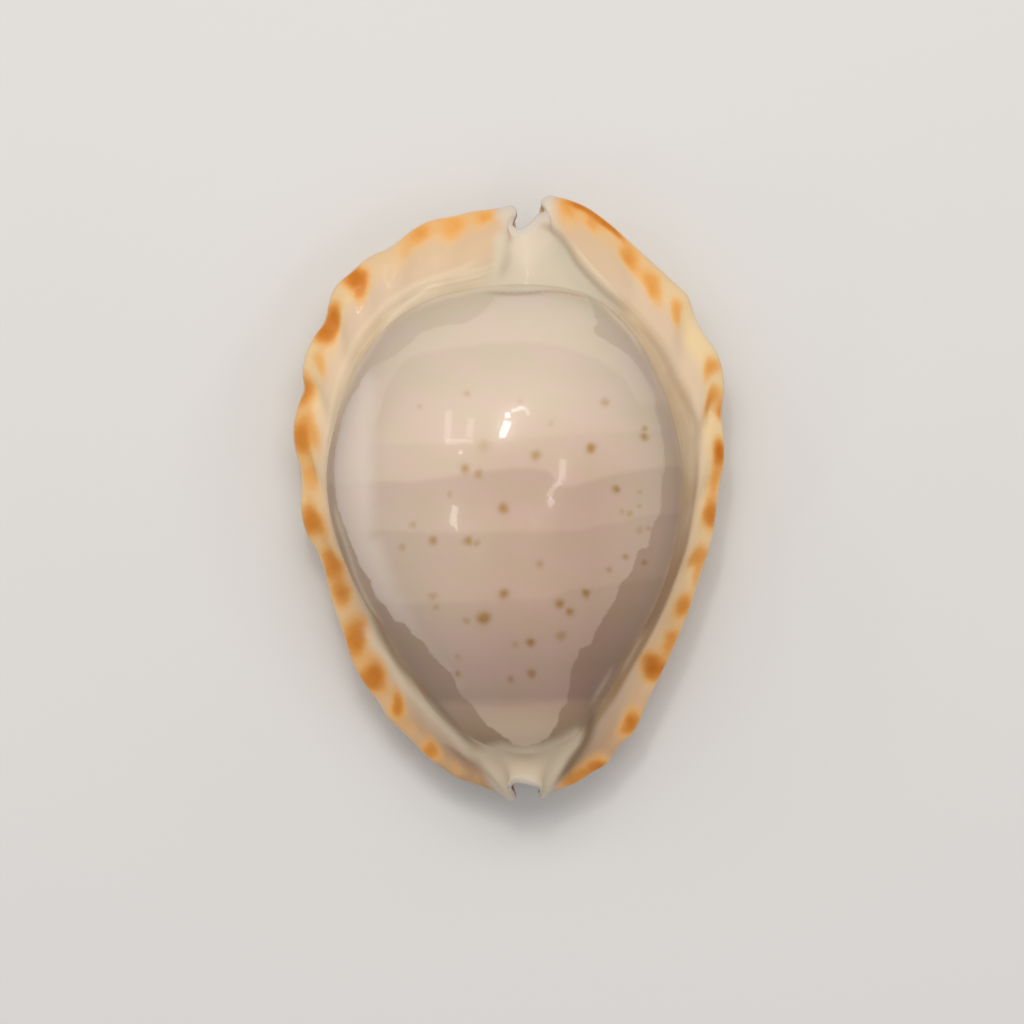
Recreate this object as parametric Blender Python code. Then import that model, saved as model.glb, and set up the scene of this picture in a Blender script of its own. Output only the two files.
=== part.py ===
"""Model a ketyana cowrie shell as one closed solid, resting on its base.

The shell lies with its aperture down and its back up. +Z is up, +Y points to the posterior (spire)
end, +X to the columellar side and -X to the outer lip. The origin is at the middle of the box, on
the surface that the shell rests on.

The wall is one skin, lofted through closed guide loops. They start at the top of the back, run down
the dome, across the flange and round its edge, under the base to the lips of the aperture, then
through the aperture and over the inside of the body cavity to a last point under the dome's top.
Every loop has the same columns, numbered counter-clockwise as seen from above:
columellar flank, posterior notch, labral flank, anterior notch.

All sizes below are in millimetres.
"""
import bpy
import numpy as np

MM = 0.001
NAME = "shell"

# Driving dimensions
HEIGHT = 33.0
WALL = 2.2
POLE = (0.4, 3.0)

# Columns in each of the four stretches of a loop
FLANK_COLUMNS = 62
LABRAL_COLUMNS = 88
NOTCH_COLUMNS = 14

# Fineness of the curves that the loops are cut from, in steps between two given points
CURVE_STEPS = 24

# Edge of the flange from the anterior tip to the posterior tip, columellar side
COLUMELLAR_EDGE = [
    (3.7, -32.6), (4.3, -32.1), (5.3, -31.6), (7.3, -30.8), (9.0, -29.7), (10.5, -28.8),
    (12.0, -26.8), (13.1, -25.8), (15.3, -21.4), (17.9, -16.0), (19.4, -12.4), (20.8, -8.0),
    (21.8, -5.1), (22.8, 1.4), (23.3, 4.1), (23.3, 6.5), (23.0, 9.2), (23.3, 12.1),
    (22.5, 16.0), (21.1, 17.9), (20.3, 19.3), (19.2, 22.3), (17.9, 23.5), (14.0, 27.1),
    (10.4, 30.3), (8.4, 31.7), (6.5, 32.5), (4.3, 33.0),
]

# Edge of the flange from the posterior tip to the anterior tip, outer-lip side
LABRAL_EDGE = [
    (0.2, 31.9), (-0.7, 31.7), (-2.1, 31.5), (-4.3, 31.2), (-5.8, 30.8), (-9.0, 30.1),
    (-10.6, 29.2), (-12.7, 27.5), (-15.7, 26.0), (-16.8, 25.0), (-19.2, 22.6), (-19.6, 21.4),
    (-20.1, 19.3), (-21.3, 17.6), (-22.2, 15.6), (-22.5, 13.6), (-22.3, 12.1), (-23.0, 10.2),
    (-23.5, 7.8), (-23.3, 5.4), (-22.7, 3.2), (-22.6, 1.0), (-22.7, -0.9), (-22.0, -3.9),
    (-20.9, -5.7), (-20.3, -7.2), (-19.7, -9.6), (-18.8, -12.7), (-18.1, -14.5), (-17.2, -17.5),
    (-16.3, -19.3), (-14.0, -22.5), (-13.2, -23.9), (-11.1, -25.8), (-9.7, -27.3), (-7.2, -29.4),
    (-5.6, -30.4), (-3.9, -31.0), (-1.3, -32.0), (-0.6, -32.5), (0.2, -33.0),
]

# Rims of the two notches, from tip to tip over the canal's roof
POSTERIOR_RIM = [
    (4.3, 33.0, 8.6), (3.5, 32.5, 8.8), (3.4, 32.0, 9.1), (3.8, 31.3, 9.7), (3.0, 30.8, 10.9),
    (2.6, 30.2, 11.8), (2.1, 29.7, 12.4), (1.1, 29.1, 12.8), (0.4, 29.5, 12.0), (0.5, 30.3, 10.7),
    (0.8, 31.2, 9.4), (0.6, 31.7, 8.9), (0.2, 31.9, 8.7),
]
ANTERIOR_RIM = [
    (0.2, -33.0, 6.6), (0.6, -32.6, 7.2), (0.5, -31.8, 8.8), (0.2, -31.1, 10.2), (0.6, -30.7, 11.0),
    (1.7, -30.8, 11.4), (2.7, -31.1, 11.1), (3.2, -31.4, 10.3), (3.2, -32.0, 8.9),
    (3.3, -32.5, 7.8), (3.7, -32.6, 7.2),
]

# Foot of the dome, a closed curve that starts at the first of four corners, where the loops'
# stretches meet; its other corners are at the places counted in FOOT_CORNERS
FOOT = [
    (5.5, -26.4, 12.2), (7.8, -24.8, 11.6), (11.3, -19.1, 10.5), (16.0, -10.9, 10.4),
    (18.3, -2.2, 10.8), (18.4, 4.8, 11.3), (16.5, 11.7, 12.0), (12.7, 18.4, 13.4),
    (9.0, 21.7, 14.4), (3.0, 22.9, 15.2), (-3.2, 22.6, 14.6), (-8.0, 21.6, 13.4),
    (-12.3, 19.3, 12.0), (-15.9, 15.0, 11.0), (-18.4, 9.0, 10.2), (-19.7, 2.5, 9.6),
    (-18.6, -4.2, 9.3), (-15.8, -10.6, 9.4), (-11.6, -17.4, 10.0), (-7.0, -23.8, 11.2),
    (-1.9, -26.5, 12.5), (1.8, -27.3, 12.7),
]
FOOT_CORNERS = (8, 10, 20)
FOOT_SOFTENING = 150

# Height of the flange's edge above the resting surface, at these distances along the shell
EDGE_STATIONS = (-33.0, -25.0, -12.0, 4.0, 18.0, 27.0, 33.0)
COLUMELLAR_EDGE_HEIGHT = (7.2, 7.0, 7.4, 7.9, 8.4, 8.7, 8.6)
LABRAL_EDGE_HEIGHT = (6.6, 6.3, 6.4, 6.8, 7.8, 8.6, 8.7)

# Width of the grooved band outside the dome's foot, as a part of the way to the edge,
# at these parts of the way along each flank
BAND_STATIONS = (0.0, 0.15, 0.5, 0.75, 1.0)
COLUMELLAR_BAND = (0.30, 0.34, 0.58, 0.46, 0.32)
LABRAL_BAND = (0.32, 0.30, 0.20, 0.28, 0.32)

# Loops of the flange: how far each lies across the grooved band and beyond it, and how much of
# the fall from the dome's foot to the edge is behind it, on a flank and on a canal's saddle
FLANGE_PLACES = ((0.4, 0.0), (1.0, 0.0), (1.0, 0.55))
FLANGE_FALL = (0.38, 0.52, 0.72)
SADDLE_FALL = (0.10, 0.26, 0.58)

# Aperture: its middle line and its width, at these distances along the shell
SLOT_STATIONS = (-31.4, -27.5, -22.0, -14.0, -4.0, 6.0, 16.0, 24.0, 31.0)
SLOT_MIDDLE = (1.7, 1.1, -0.8, -2.9, -3.9, -3.5, -1.9, 0.3, 1.9)
SLOT_WIDTH = (2.7, 4.0, 6.2, 6.2, 5.0, 4.5, 4.1, 3.4, 2.6)
SLOT_ANTERIOR_END = -31.4
SLOT_POSTERIOR_END = 31.0
SLOT_POINTS = 40
LIP_HEIGHT = (5.0, 3.6, 2.2, 1.9, 1.9, 1.9, 2.1, 3.4, 5.8)

# Inner edge of the rim at each notch, from one lip over the canal's roof to the other
POSTERIOR_ROOF = [
    (3.2, 31.0, 5.8), (3.0, 30.3, 7.6), (2.6, 29.4, 9.4), (2.0, 28.4, 10.7), (1.1, 27.7, 11.2),
    (0.6, 28.4, 10.7), (0.5, 29.4, 9.4), (0.5, 30.3, 7.6), (0.6, 31.0, 5.8),
]
ANTERIOR_ROOF = [
    (0.35, -31.4, 5.0), (0.4, -30.7, 7.0), (0.6, -29.7, 8.9), (1.7, -29.2, 9.6),
    (2.8, -29.7, 8.9), (3.0, -30.7, 7.0), (3.05, -31.4, 5.0),
]

# Base: it touches the surface between these distances, and rises beyond them
BASE_FLAT_END = 9.0
BASE_RISE = 0.0095

# Loops across the base: the part of the way to the lip, the share of the edge's height that is
# left there, and the height added for the lip's rounding. The base turns from a plain wall into
# a resting surface as it widens between the two widths.
BASE_STEPS = (
    (0.16, 0.46, 0.0), (0.36, 0.10, 0.0), (0.58, 0.0, 0.0), (0.74, 0.0, 0.0), (0.90, 0.0, 0.55),
)
BASE_WIDENING = (1.5, 9.0)

# Roundness of the flange's edge, of the four tips, and how much of the edge's a notch's rim has
EDGE_SET_BACK = 1.3
EDGE_TOP = 1.0
EDGE_UNDER = 2.0
TIP_SET_BACK = 0.3
TIP_TOP = 0.5
TIP_UNDER = 0.6
TIP_NEAR = 0.5
TIP_REACH = 4.5
NOTCH_ROUNDNESS = 0.4

# Dome: rings at these angles from its top, how much fuller than an ellipse it is, and how it
# leans in at these distances along the shell, where 1 is an ellipse and more is leaner
DOME_ANGLES = (10.0, 20.0, 31.0, 42.0, 53.0, 64.0, 74.0, 83.0)
DOME_FULLNESS = 0.13
LEAN_STATIONS = (-29.0, -20.0, -8.0, 8.0, 17.0, 23.0)
DOME_LEAN = (1.5, 1.28, 1.02, 0.95, 1.02, 1.15)

# Mouth: the loop above the lips, how it leans away from the slot, and how the wall turns from
# upright to level towards each canal
MOUTH_RISE = 2.1
MOUTH_LEAN = 0.15
CANAL_REACH = 8.0
CANAL_CORNER = 0.6
CANAL_SAG = 2.4

# Cavity: its floor's height, how far that follows the base's rise, the floor's loops as parts of
# the way to the side wall, and the distances from the slot's ends and across the floor over which
# it opens; then the angles of the side wall and the ceiling
CAVITY_FLOOR = 5.0
FLOOR_FOLLOWS_BASE = 0.6
FLOOR_PARTS = (0.18, 0.6)
FLOOR_REACH = (1.0, 15.0)
FLOOR_WIDENING = (3.0, 10.0)
SIDE_ANGLE = 80.0
CEILING_ANGLES = (62.0, 36.0)

# Scallops: the middle of each trough at the flange's edge, where a furrow runs in
TROUGHS = [
    (11.2, -27.8), (12.2, -26.6), (15.9, -20.2), (18.3, -15.0), (21.0, -7.5), (22.7, 1.2),
    (23.0, 9.2), (20.5, 18.9), (14.0, 27.1), (-6.0, 30.6), (-12.6, 27.6), (-16.8, 25.0),
    (-20.0, 19.3), (-22.3, 12.1), (-22.6, 2.6), (-20.4, -7.0), (-19.1, -10.9), (-18.1, -14.4),
    (-14.0, -22.4), (-11.1, -25.7), (-3.9, -31.0),
]
FURROW_DEPTH = 0.45
FURROW_HALF_WIDTH = 1.3

# Teeth on the lips: a ridge and a gap take four columns, and they run from the first to the last
# column of each flank. They also stand down from the lip and from the base beside it.
TOOTH_COLUMNS = 4
LABRAL_TEETH = (4, 84)
LABRAL_TOOTH = 0.55
COLUMELLAR_TEETH = (3, 31)
COLUMELLAR_TOOTH = 0.28
LIP_TOOTH_DROP = 0.3
BASE_TOOTH_DROP = 0.5

# Finish in the plain model
SHELL_COLOUR = (0.80, 0.66, 0.56, 1.0)
SHELL_ROUGHNESS = 0.18


def hermite(points, steps):
    """Return points on a smooth curve through the given ones, with steps for each span."""
    points = np.asarray(points, float)
    lengths = np.linalg.norm(np.diff(points, axis=0), axis=1)
    slopes = np.diff(points, axis=0) / lengths[:, None]
    before, after = lengths[:-1, None], lengths[1:, None]
    middle = (slopes[1:] * before + slopes[:-1] * after) / (before + after)
    tangents = np.vstack([slopes[:1], middle, slopes[-1:]])
    t = np.linspace(0.0, 1.0, steps, endpoint=False)[None, :, None]
    start, end = points[:-1, None], points[1:, None]
    leave = tangents[:-1, None] * lengths[:, None, None]
    arrive = tangents[1:, None] * lengths[:, None, None]
    curve = ((1 + 2 * t) * (1 - t) ** 2 * start + t * (1 - t) ** 2 * leave
             + t * t * (3 - 2 * t) * end + t * t * (t - 1) * arrive)
    return np.vstack([curve.reshape(-1, points.shape[1]), points[-1:]])


def along(points, count):
    """Return count points at equal distances along the curve, leaving out its far end."""
    curve = hermite(points, CURVE_STEPS)
    lengths = np.linalg.norm(np.diff(curve, axis=0), axis=1)
    travelled = np.concatenate([[0.0], np.cumsum(lengths)])
    wanted = np.linspace(0.0, travelled[-1], count, endpoint=False)
    return np.column_stack([np.interp(wanted, travelled, axis) for axis in curve.T])


def smooth_value(where, stations, values):
    """Read a smooth curve through the values at the stations."""
    curve = hermite(np.column_stack([stations, values]), CURVE_STEPS)
    return np.interp(where, curve[:, 0], curve[:, 1])


def blend(start, end, amount):
    """Mix two loops by an amount, which may differ from column to column."""
    amount = np.asarray(amount, float)
    if amount.ndim == 1:
        amount = amount[:, None]
    return start * (1.0 - amount) + end * amount


def ramp(value, low, high):
    """Rise smoothly from 0 at low to 1 at high."""
    t = np.clip((value - low) / (high - low), 0.0, 1.0)
    return t * t * (3.0 - 2.0 * t)


def foot_loop():
    """Return the loop round the dome's foot, softened so that the dome reflects without kinks."""
    wrapped = FOOT[-2:] + FOOT + FOOT[:3]
    curve = hermite(wrapped, CURVE_STEPS)[2 * CURVE_STEPS:(len(FOOT) + 2) * CURVE_STEPS]
    for _ in range(FOOT_SOFTENING):
        curve = 0.5 * curve + 0.25 * (np.roll(curve, 1, axis=0) + np.roll(curve, -1, axis=0))
    curve = np.vstack([curve, curve[:1]])
    cuts = [corner * CURVE_STEPS for corner in (0, *FOOT_CORNERS, len(FOOT))]
    return four_stretches(*(curve[start:end + 1] for start, end in zip(cuts, cuts[1:])))


def four_stretches(columellar, posterior, labral, anterior):
    """Join the four stretches of a closed loop, each with its own number of columns."""
    return np.vstack([
        along(columellar, FLANK_COLUMNS),
        along(posterior, NOTCH_COLUMNS),
        along(labral, LABRAL_COLUMNS),
        along(anterior, NOTCH_COLUMNS),
    ])


def edge_with_height(points, heights):
    """Give a flange edge drawn in plan its height above the surface."""
    points = np.asarray(points, float)
    z = smooth_value(points[:, 1], EDGE_STATIONS, heights)
    return np.column_stack([points, z])


def edge_loop():
    """Return the outermost loop: the flange's edge and the notches' rims."""
    return four_stretches(
        edge_with_height(COLUMELLAR_EDGE, COLUMELLAR_EDGE_HEIGHT),
        POSTERIOR_RIM,
        edge_with_height(LABRAL_EDGE, LABRAL_EDGE_HEIGHT),
        ANTERIOR_RIM,
    )


def slot_side(side):
    """Return one lip of the aperture from end to end: side is 1 columellar, -1 labral."""
    y = np.linspace(SLOT_ANTERIOR_END, SLOT_POSTERIOR_END, SLOT_POINTS)
    middle = smooth_value(y, SLOT_STATIONS, SLOT_MIDDLE)
    width = smooth_value(y, SLOT_STATIONS, SLOT_WIDTH)
    height = smooth_value(y, SLOT_STATIONS, LIP_HEIGHT)
    return np.column_stack([middle + side * width / 2.0, y, height])


def lip_loop():
    """Return the loop along both lips and round under the canals' roofs."""
    return four_stretches(slot_side(1), POSTERIOR_ROOF, slot_side(-1)[::-1], ANTERIOR_ROOF)


def flank_numbers():
    """Return each column's place along its flank, and marks for the two flanks."""
    total = FLANK_COLUMNS + LABRAL_COLUMNS + 2 * NOTCH_COLUMNS
    place = np.zeros(total)
    columellar = np.zeros(total, bool)
    labral = np.zeros(total, bool)
    labral_start = FLANK_COLUMNS + NOTCH_COLUMNS
    columellar[:FLANK_COLUMNS] = True
    labral[labral_start:labral_start + LABRAL_COLUMNS] = True
    place[columellar] = np.arange(FLANK_COLUMNS) / FLANK_COLUMNS
    place[labral] = np.arange(LABRAL_COLUMNS) / LABRAL_COLUMNS
    return place, columellar, labral


def outward(loop):
    """Return the plan direction that faces away from the loop at each column, evened out between
    neighbours.
    """
    forward = np.roll(loop, -2, axis=0) - np.roll(loop, 2, axis=0)
    normal = np.column_stack([forward[:, 1], -forward[:, 0], np.zeros(len(loop))])
    normal /= np.linalg.norm(normal, axis=1)[:, None]
    normal = 2.0 * normal + np.roll(normal, 1, axis=0) + np.roll(normal, -1, axis=0)
    return normal / np.linalg.norm(normal, axis=1)[:, None]


def inward_way(loop):
    """Return the direction along the shell that leads from the nearer end to its middle."""
    way = np.zeros_like(loop)
    way[:, 1] = -np.sign(loop[:, 1])
    return way


def tip_distance(edge):
    """Return how far each column's edge point is from the nearest of the four tips."""
    tips = [COLUMELLAR_EDGE[0], COLUMELLAR_EDGE[-1], LABRAL_EDGE[0], LABRAL_EDGE[-1]]
    gaps = [np.linalg.norm(edge[:, :2] - np.array(tip), axis=1) for tip in tips]
    return np.min(gaps, axis=0)


def furrow_weight(edge):
    """Return how far each column lies in a trough between two scallops, from 0 to 1."""
    weight = np.zeros(len(edge))
    for trough in TROUGHS:
        distance = np.linalg.norm(edge[:, :2] - np.array(trough), axis=1)
        weight = np.maximum(weight, np.exp(-(distance / FURROW_HALF_WIDTH) ** 2))
    return weight


def tooth_wave():
    """Return the teeth's relief in each column, positive on a ridge."""
    place, columellar, labral = flank_numbers()
    wave = np.zeros(len(place))
    for flank, (first, last), height in (
        (labral, LABRAL_TEETH, LABRAL_TOOTH),
        (columellar, COLUMELLAR_TEETH, COLUMELLAR_TOOTH),
    ):
        count = np.arange(flank.sum())
        toothed = (count >= first) & (count < last)
        wave[np.flatnonzero(flank)] = np.where(
            toothed, height * np.cos(2.0 * np.pi * (count - first) / TOOTH_COLUMNS - np.pi), 0.0)
    return wave


def dome_ring(foot, angle, top, wall):
    """Return a ring of the dome at an angle from its top, set in by the wall's thickness."""
    pole = np.array([POLE[0], POLE[1], 0.0])
    reach = foot - pole
    length = np.linalg.norm(reach[:, :2], axis=1)
    spread = np.sin(angle) * (1.0 + DOME_FULLNESS * np.sin(angle) ** 2 * np.cos(angle))
    lean = smooth_value(foot[:, 1], LEAN_STATIONS, DOME_LEAN)
    ring = pole + reach * (spread * (1.0 - wall / length))[:, None]
    ring[:, 2] = foot[:, 2] + (top - foot[:, 2]) * np.cos(angle) ** lean
    return ring


def flange_loops(foot, edge_top, sinks):
    """Return the loops between the dome's foot and the flange's edge."""
    place, columellar, labral = flank_numbers()
    band = np.full(len(place), COLUMELLAR_BAND[-1])
    band[columellar] = smooth_value(place[columellar], BAND_STATIONS, COLUMELLAR_BAND)
    band[labral] = smooth_value(place[labral], BAND_STATIONS, LABRAL_BAND)
    saddle = (~(columellar | labral)).astype(float)
    loops = []
    for (part_of_band, beyond), fall, saddle_fall in zip(FLANGE_PLACES, FLANGE_FALL, SADDLE_FALL):
        loop = blend(foot, edge_top, band * part_of_band + (1.0 - band) * beyond)
        share = fall * (1.0 - saddle) + saddle_fall * saddle
        loop[:, 2] = foot[:, 2] - share * (foot - edge_top)[:, 2]
        loops.append(loop)
    loops[-1][:, 2] -= sinks
    return loops


def base_height(loop):
    """Return how high the underside lies above the surface at each point of a loop."""
    beyond = np.maximum(np.abs(loop[:, 1]) - BASE_FLAT_END, 0.0)
    return BASE_RISE * beyond ** 2


def base_loops(edge_under, lip, teeth):
    """Return the loops across the base, from the flange's edge to the lips."""
    width = np.linalg.norm((edge_under - lip)[:, :2], axis=1)
    broad = ramp(width, *BASE_WIDENING)
    loops = []
    for part, share, rounding in BASE_STEPS:
        loop = blend(edge_under, lip, np.full(len(lip), part))
        ground = base_height(loop)
        resting = ground + share * (edge_under[:, 2] - ground) + rounding
        loop[:, 2] = loop[:, 2] * (1.0 - broad) + resting * broad
        loops.append(loop)
    loops[-1][:, 2] -= BASE_TOOTH_DROP * teeth
    return loops


def end_distance(lip):
    """Return how far each column's lip point is from the nearer end of the slot."""
    return np.minimum(lip[:, 1] - SLOT_ANTERIOR_END, SLOT_POSTERIOR_END - lip[:, 1])


def notch_turn(lip):
    """Return how far the wall's inside has turned at each column: 0 is upright, as above a lip,
    and 1 is level, as under a canal's roof.
    """
    place, columellar, labral = flank_numbers()
    turn = 0.5 * (1.0 - ramp(end_distance(lip), 0.0, CANAL_REACH))
    across = np.arange(NOTCH_COLUMNS) / NOTCH_COLUMNS
    roof = ramp(1.0 - np.abs(2.0 * across - 1.0), 0.0, CANAL_CORNER)
    turn[~(columellar | labral)] = 0.5 + 0.5 * np.tile(roof, 2)
    return turn


def inner_loops(lip, foot, top):
    """Return the loops from the lips up into the cavity and over its ceiling."""
    turn = notch_turn(lip)
    lean = (turn * np.pi / 2.0)[:, None]
    upright = outward(lip) * MOUTH_LEAN + np.array([0.0, 0.0, 1.0])
    side = dome_ring(foot, np.radians(SIDE_ANGLE), top, WALL)
    mouth = lip + MOUTH_RISE * (np.cos(lean) * upright + np.sin(lean) * inward_way(lip))
    across = np.linalg.norm((side - mouth)[:, :2], axis=1)
    open_floor = ramp(across, *FLOOR_WIDENING) * ramp(end_distance(lip), *FLOOR_REACH)
    loops = [mouth]
    for part in FLOOR_PARTS:
        loop = blend(mouth, side, np.full(len(lip), part))
        loop[:, 2] = mouth[:, 2] + (side - mouth)[:, 2] * part ** (1.0 + CANAL_SAG * turn)
        floor = CAVITY_FLOOR + base_height(loop) * FLOOR_FOLLOWS_BASE
        loop[:, 2] = loop[:, 2] * (1.0 - open_floor) + floor * open_floor
        loops.append(loop)
    loops.append(side)
    for angle in CEILING_ANGLES:
        loops.append(dome_ring(foot, np.radians(angle), top, WALL))
    return loops


def under_way(edge, away):
    """Return the plan direction in which the underside leaves the edge: back under a flank, and
    along the canal at a notch.
    """
    place, columellar, labral = flank_numbers()
    notch = ~(columellar | labral)
    way = -away
    way[notch] = inward_way(edge)[notch]
    return way


def shell_loops():
    """Return every guide loop, from the dome's top to the cavity's ceiling."""
    edge = edge_loop()
    lip = lip_loop()
    foot = foot_loop()
    away = outward(edge)
    place, columellar, labral = flank_numbers()
    body = ramp(tip_distance(edge), TIP_NEAR, TIP_REACH)
    sinks = FURROW_DEPTH * furrow_weight(edge) * body
    teeth = tooth_wave()
    body = np.where(columellar | labral, body, NOTCH_ROUNDNESS * body)
    set_back = (TIP_SET_BACK + (EDGE_SET_BACK - TIP_SET_BACK) * body)[:, None]
    edge_top = edge - away * set_back
    edge_top[:, 2] += TIP_TOP + (EDGE_TOP - TIP_TOP) * body - sinks
    edge_under = edge + under_way(edge, away) * set_back
    edge_under[:, 2] -= TIP_UNDER + (EDGE_UNDER - TIP_UNDER) * body
    lip = lip - outward(lip) * teeth[:, None]
    lip[:, 2] -= LIP_TOOTH_DROP * teeth
    loops = [dome_ring(foot, np.radians(angle), HEIGHT, 0.0) for angle in DOME_ANGLES]
    loops.append(foot)
    loops.extend(flange_loops(foot, edge_top, sinks))
    loops.extend([edge_top, edge, edge_under])
    loops.extend(base_loops(edge_under, lip, teeth))
    loops.append(lip)
    loops.extend(inner_loops(lip, foot, HEIGHT - WALL))
    return loops


def skin_faces(rings, columns):
    """Return the faces of the closed skin: a fan at each end and quads between the rings."""
    last = rings * columns + 1
    faces = []
    for column in range(columns):
        following = (column + 1) % columns
        faces.append((0, 1 + column, 1 + following))
        faces.append((last, last - columns + following, last - columns + column))
        for ring in range(rings - 1):
            upper = 1 + ring * columns
            lower = upper + columns
            faces.append((upper + column, lower + column, lower + following, upper + following))
    return faces


def shell_object():
    """Build the shell's mesh from the loops and return its object."""
    loops = shell_loops()
    columns = len(loops[0])
    top = np.array([[POLE[0], POLE[1], HEIGHT]])
    ceiling = np.array([[POLE[0], POLE[1], HEIGHT - WALL]])
    points = np.vstack([top, *loops, ceiling]) * MM
    mesh = bpy.data.meshes.new(NAME)
    mesh.from_pydata(points.tolist(), [], skin_faces(len(loops), columns))
    mesh.validate()
    mesh.shade_smooth()
    return bpy.data.objects.new(NAME, mesh)


def enamel():
    """Return the shell's plain material."""
    material = bpy.data.materials.new("enamel")
    material.use_nodes = True
    shader = material.node_tree.nodes["Principled BSDF"]
    shader.inputs["Base Color"].default_value = SHELL_COLOUR
    shader.inputs["Roughness"].default_value = SHELL_ROUGHNESS
    shader.inputs["Metallic"].default_value = 0.0
    return material


def main():
    """Clear the scene and model the shell in its own collection."""
    for thing in list(bpy.data.objects):
        bpy.data.objects.remove(thing, do_unlink=True)
    collection = bpy.data.collections.new("cowrie")
    bpy.context.scene.collection.children.link(collection)
    shell = shell_object()
    shell.data.materials.append(enamel())
    collection.objects.link(shell)


main()
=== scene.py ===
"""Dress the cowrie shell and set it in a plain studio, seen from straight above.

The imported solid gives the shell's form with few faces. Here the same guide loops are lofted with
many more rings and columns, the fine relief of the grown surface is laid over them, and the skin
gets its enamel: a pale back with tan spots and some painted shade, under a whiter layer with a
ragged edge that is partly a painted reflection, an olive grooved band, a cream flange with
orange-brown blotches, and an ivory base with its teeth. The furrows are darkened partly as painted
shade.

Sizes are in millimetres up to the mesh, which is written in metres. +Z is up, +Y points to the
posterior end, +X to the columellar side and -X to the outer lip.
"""
from __future__ import annotations

import logging
import math
from collections.abc import Iterator
from dataclasses import dataclass, field
from enum import Enum

import bpy
import numpy as np
from mathutils import Matrix, Vector


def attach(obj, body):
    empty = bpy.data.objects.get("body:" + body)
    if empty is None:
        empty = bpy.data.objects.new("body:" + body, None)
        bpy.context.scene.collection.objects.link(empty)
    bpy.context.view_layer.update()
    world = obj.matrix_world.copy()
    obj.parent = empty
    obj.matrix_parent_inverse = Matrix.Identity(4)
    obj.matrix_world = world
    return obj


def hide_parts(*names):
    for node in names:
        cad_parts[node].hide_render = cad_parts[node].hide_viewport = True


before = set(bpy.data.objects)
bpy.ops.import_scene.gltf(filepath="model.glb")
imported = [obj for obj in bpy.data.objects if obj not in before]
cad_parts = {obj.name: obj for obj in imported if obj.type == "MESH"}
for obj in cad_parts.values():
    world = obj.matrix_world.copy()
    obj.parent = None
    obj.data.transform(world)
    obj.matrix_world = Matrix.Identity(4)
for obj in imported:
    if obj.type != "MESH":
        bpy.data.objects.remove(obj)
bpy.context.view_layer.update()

log = logging.getLogger("cowrie")

# A millimetre in metres, and how many points a smooth curve and a drawn line get for each span
MM = 0.001
CURVE_STEPS = 24
LINE_STEPS = 4

# Least divisors, where a sum of weights or a normal's length may be zero
WEIGHT_LEAST = 1e-6
NORMAL_LEAST = 1e-9

# Socket types of the groups, and the numbers of the Mix node's colour inputs and output
NUMBER = "NodeSocketFloat"
VECTOR = "NodeSocketVector"
MIX_FIRST = 6
MIX_SECOND = 7
MIX_RESULT = 2

Triple = tuple[float, float, float]
Places = tuple[tuple[float, ...], ...]
Range = tuple[float, float]
Colour = tuple[float, float, float, float]
Stops = tuple[tuple[float, Colour], ...]
Node = bpy.types.Node
Socket = bpy.types.NodeSocket
Groups = dict[str, bpy.types.NodeTree]


class Side(Enum):
    """The two lips of the aperture, as the sign of X."""

    COLUMELLAR = 1
    LABRAL = -1


class Loop(Enum):
    """Numbers of the guide loops that mark where one region of the skin ends and another begins."""

    FOOT = 8
    BAND_END = 10
    RIM_TOP = 12
    RIM = 13
    RIM_UNDER = 14
    BASE_END = 19
    LIP = 20
    MOUTH = 21
    SIDE_WALL = 24


def cubic(t: np.ndarray | float, start: np.ndarray, end: np.ndarray, leave: np.ndarray,
          arrive: np.ndarray) -> np.ndarray:
    """Return the point at t, from 0 to 1, on a cubic between two points with given tangents."""
    return ((1 + 2 * t) * (1 - t) ** 2 * start + t * (1 - t) ** 2 * leave
            + t * t * (3 - 2 * t) * end + t * t * (t - 1) * arrive)


def hermite(points: Places | np.ndarray, steps: int) -> np.ndarray:
    """Run a smooth curve through points.

    Args:
        points: The points, in order.
        steps: How many points the curve gets for each span.

    Returns:
        The curve's points, with the last given point at its end.
    """
    points = np.asarray(points, float)
    lengths = np.linalg.norm(np.diff(points, axis=0), axis=1)
    slopes = np.diff(points, axis=0) / lengths[:, None]
    before, after = lengths[:-1, None], lengths[1:, None]
    middle = (slopes[1:] * before + slopes[:-1] * after) / (before + after)
    tangents = np.vstack([slopes[:1], middle, slopes[-1:]])
    t = np.linspace(0.0, 1.0, steps, endpoint=False)[None, :, None]
    start, end = points[:-1, None], points[1:, None]
    leave = tangents[:-1, None] * lengths[:, None, None]
    arrive = tangents[1:, None] * lengths[:, None, None]
    curve = cubic(t, start, end, leave, arrive)
    return np.vstack([curve.reshape(-1, points.shape[1]), points[-1:]])


def along(points: Places | np.ndarray, count: int) -> np.ndarray:
    """Cut a smooth curve at equal distances.

    Args:
        points: The points that the curve runs through.
        count: How many places to return; the curve's far end is left out.

    Returns:
        The places, one in each row.
    """
    curve = hermite(points, CURVE_STEPS)
    lengths = np.linalg.norm(np.diff(curve, axis=0), axis=1)
    travelled = np.concatenate([[0.0], np.cumsum(lengths)])
    wanted = np.linspace(0.0, travelled[-1], count, endpoint=False)
    return np.column_stack([np.interp(wanted, travelled, axis) for axis in curve.T])


def smooth_value(where: np.ndarray, stations: tuple, values: tuple) -> np.ndarray:
    """Read a smooth curve through the values at the stations.

    Args:
        where: The places to read it at.
        stations: The places of the given values, rising.
        values: The value at each station.

    Returns:
        The curve's value at each place.
    """
    curve = hermite(np.column_stack([stations, values]), CURVE_STEPS)
    return np.interp(where, curve[:, 0], curve[:, 1])


def blend(start: np.ndarray, end: np.ndarray, amount: np.ndarray) -> np.ndarray:
    """Mix two loops by an amount for each column, where 0 is the start and 1 the end."""
    amount = np.asarray(amount, float)[:, None]
    return start * (1.0 - amount) + end * amount


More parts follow.
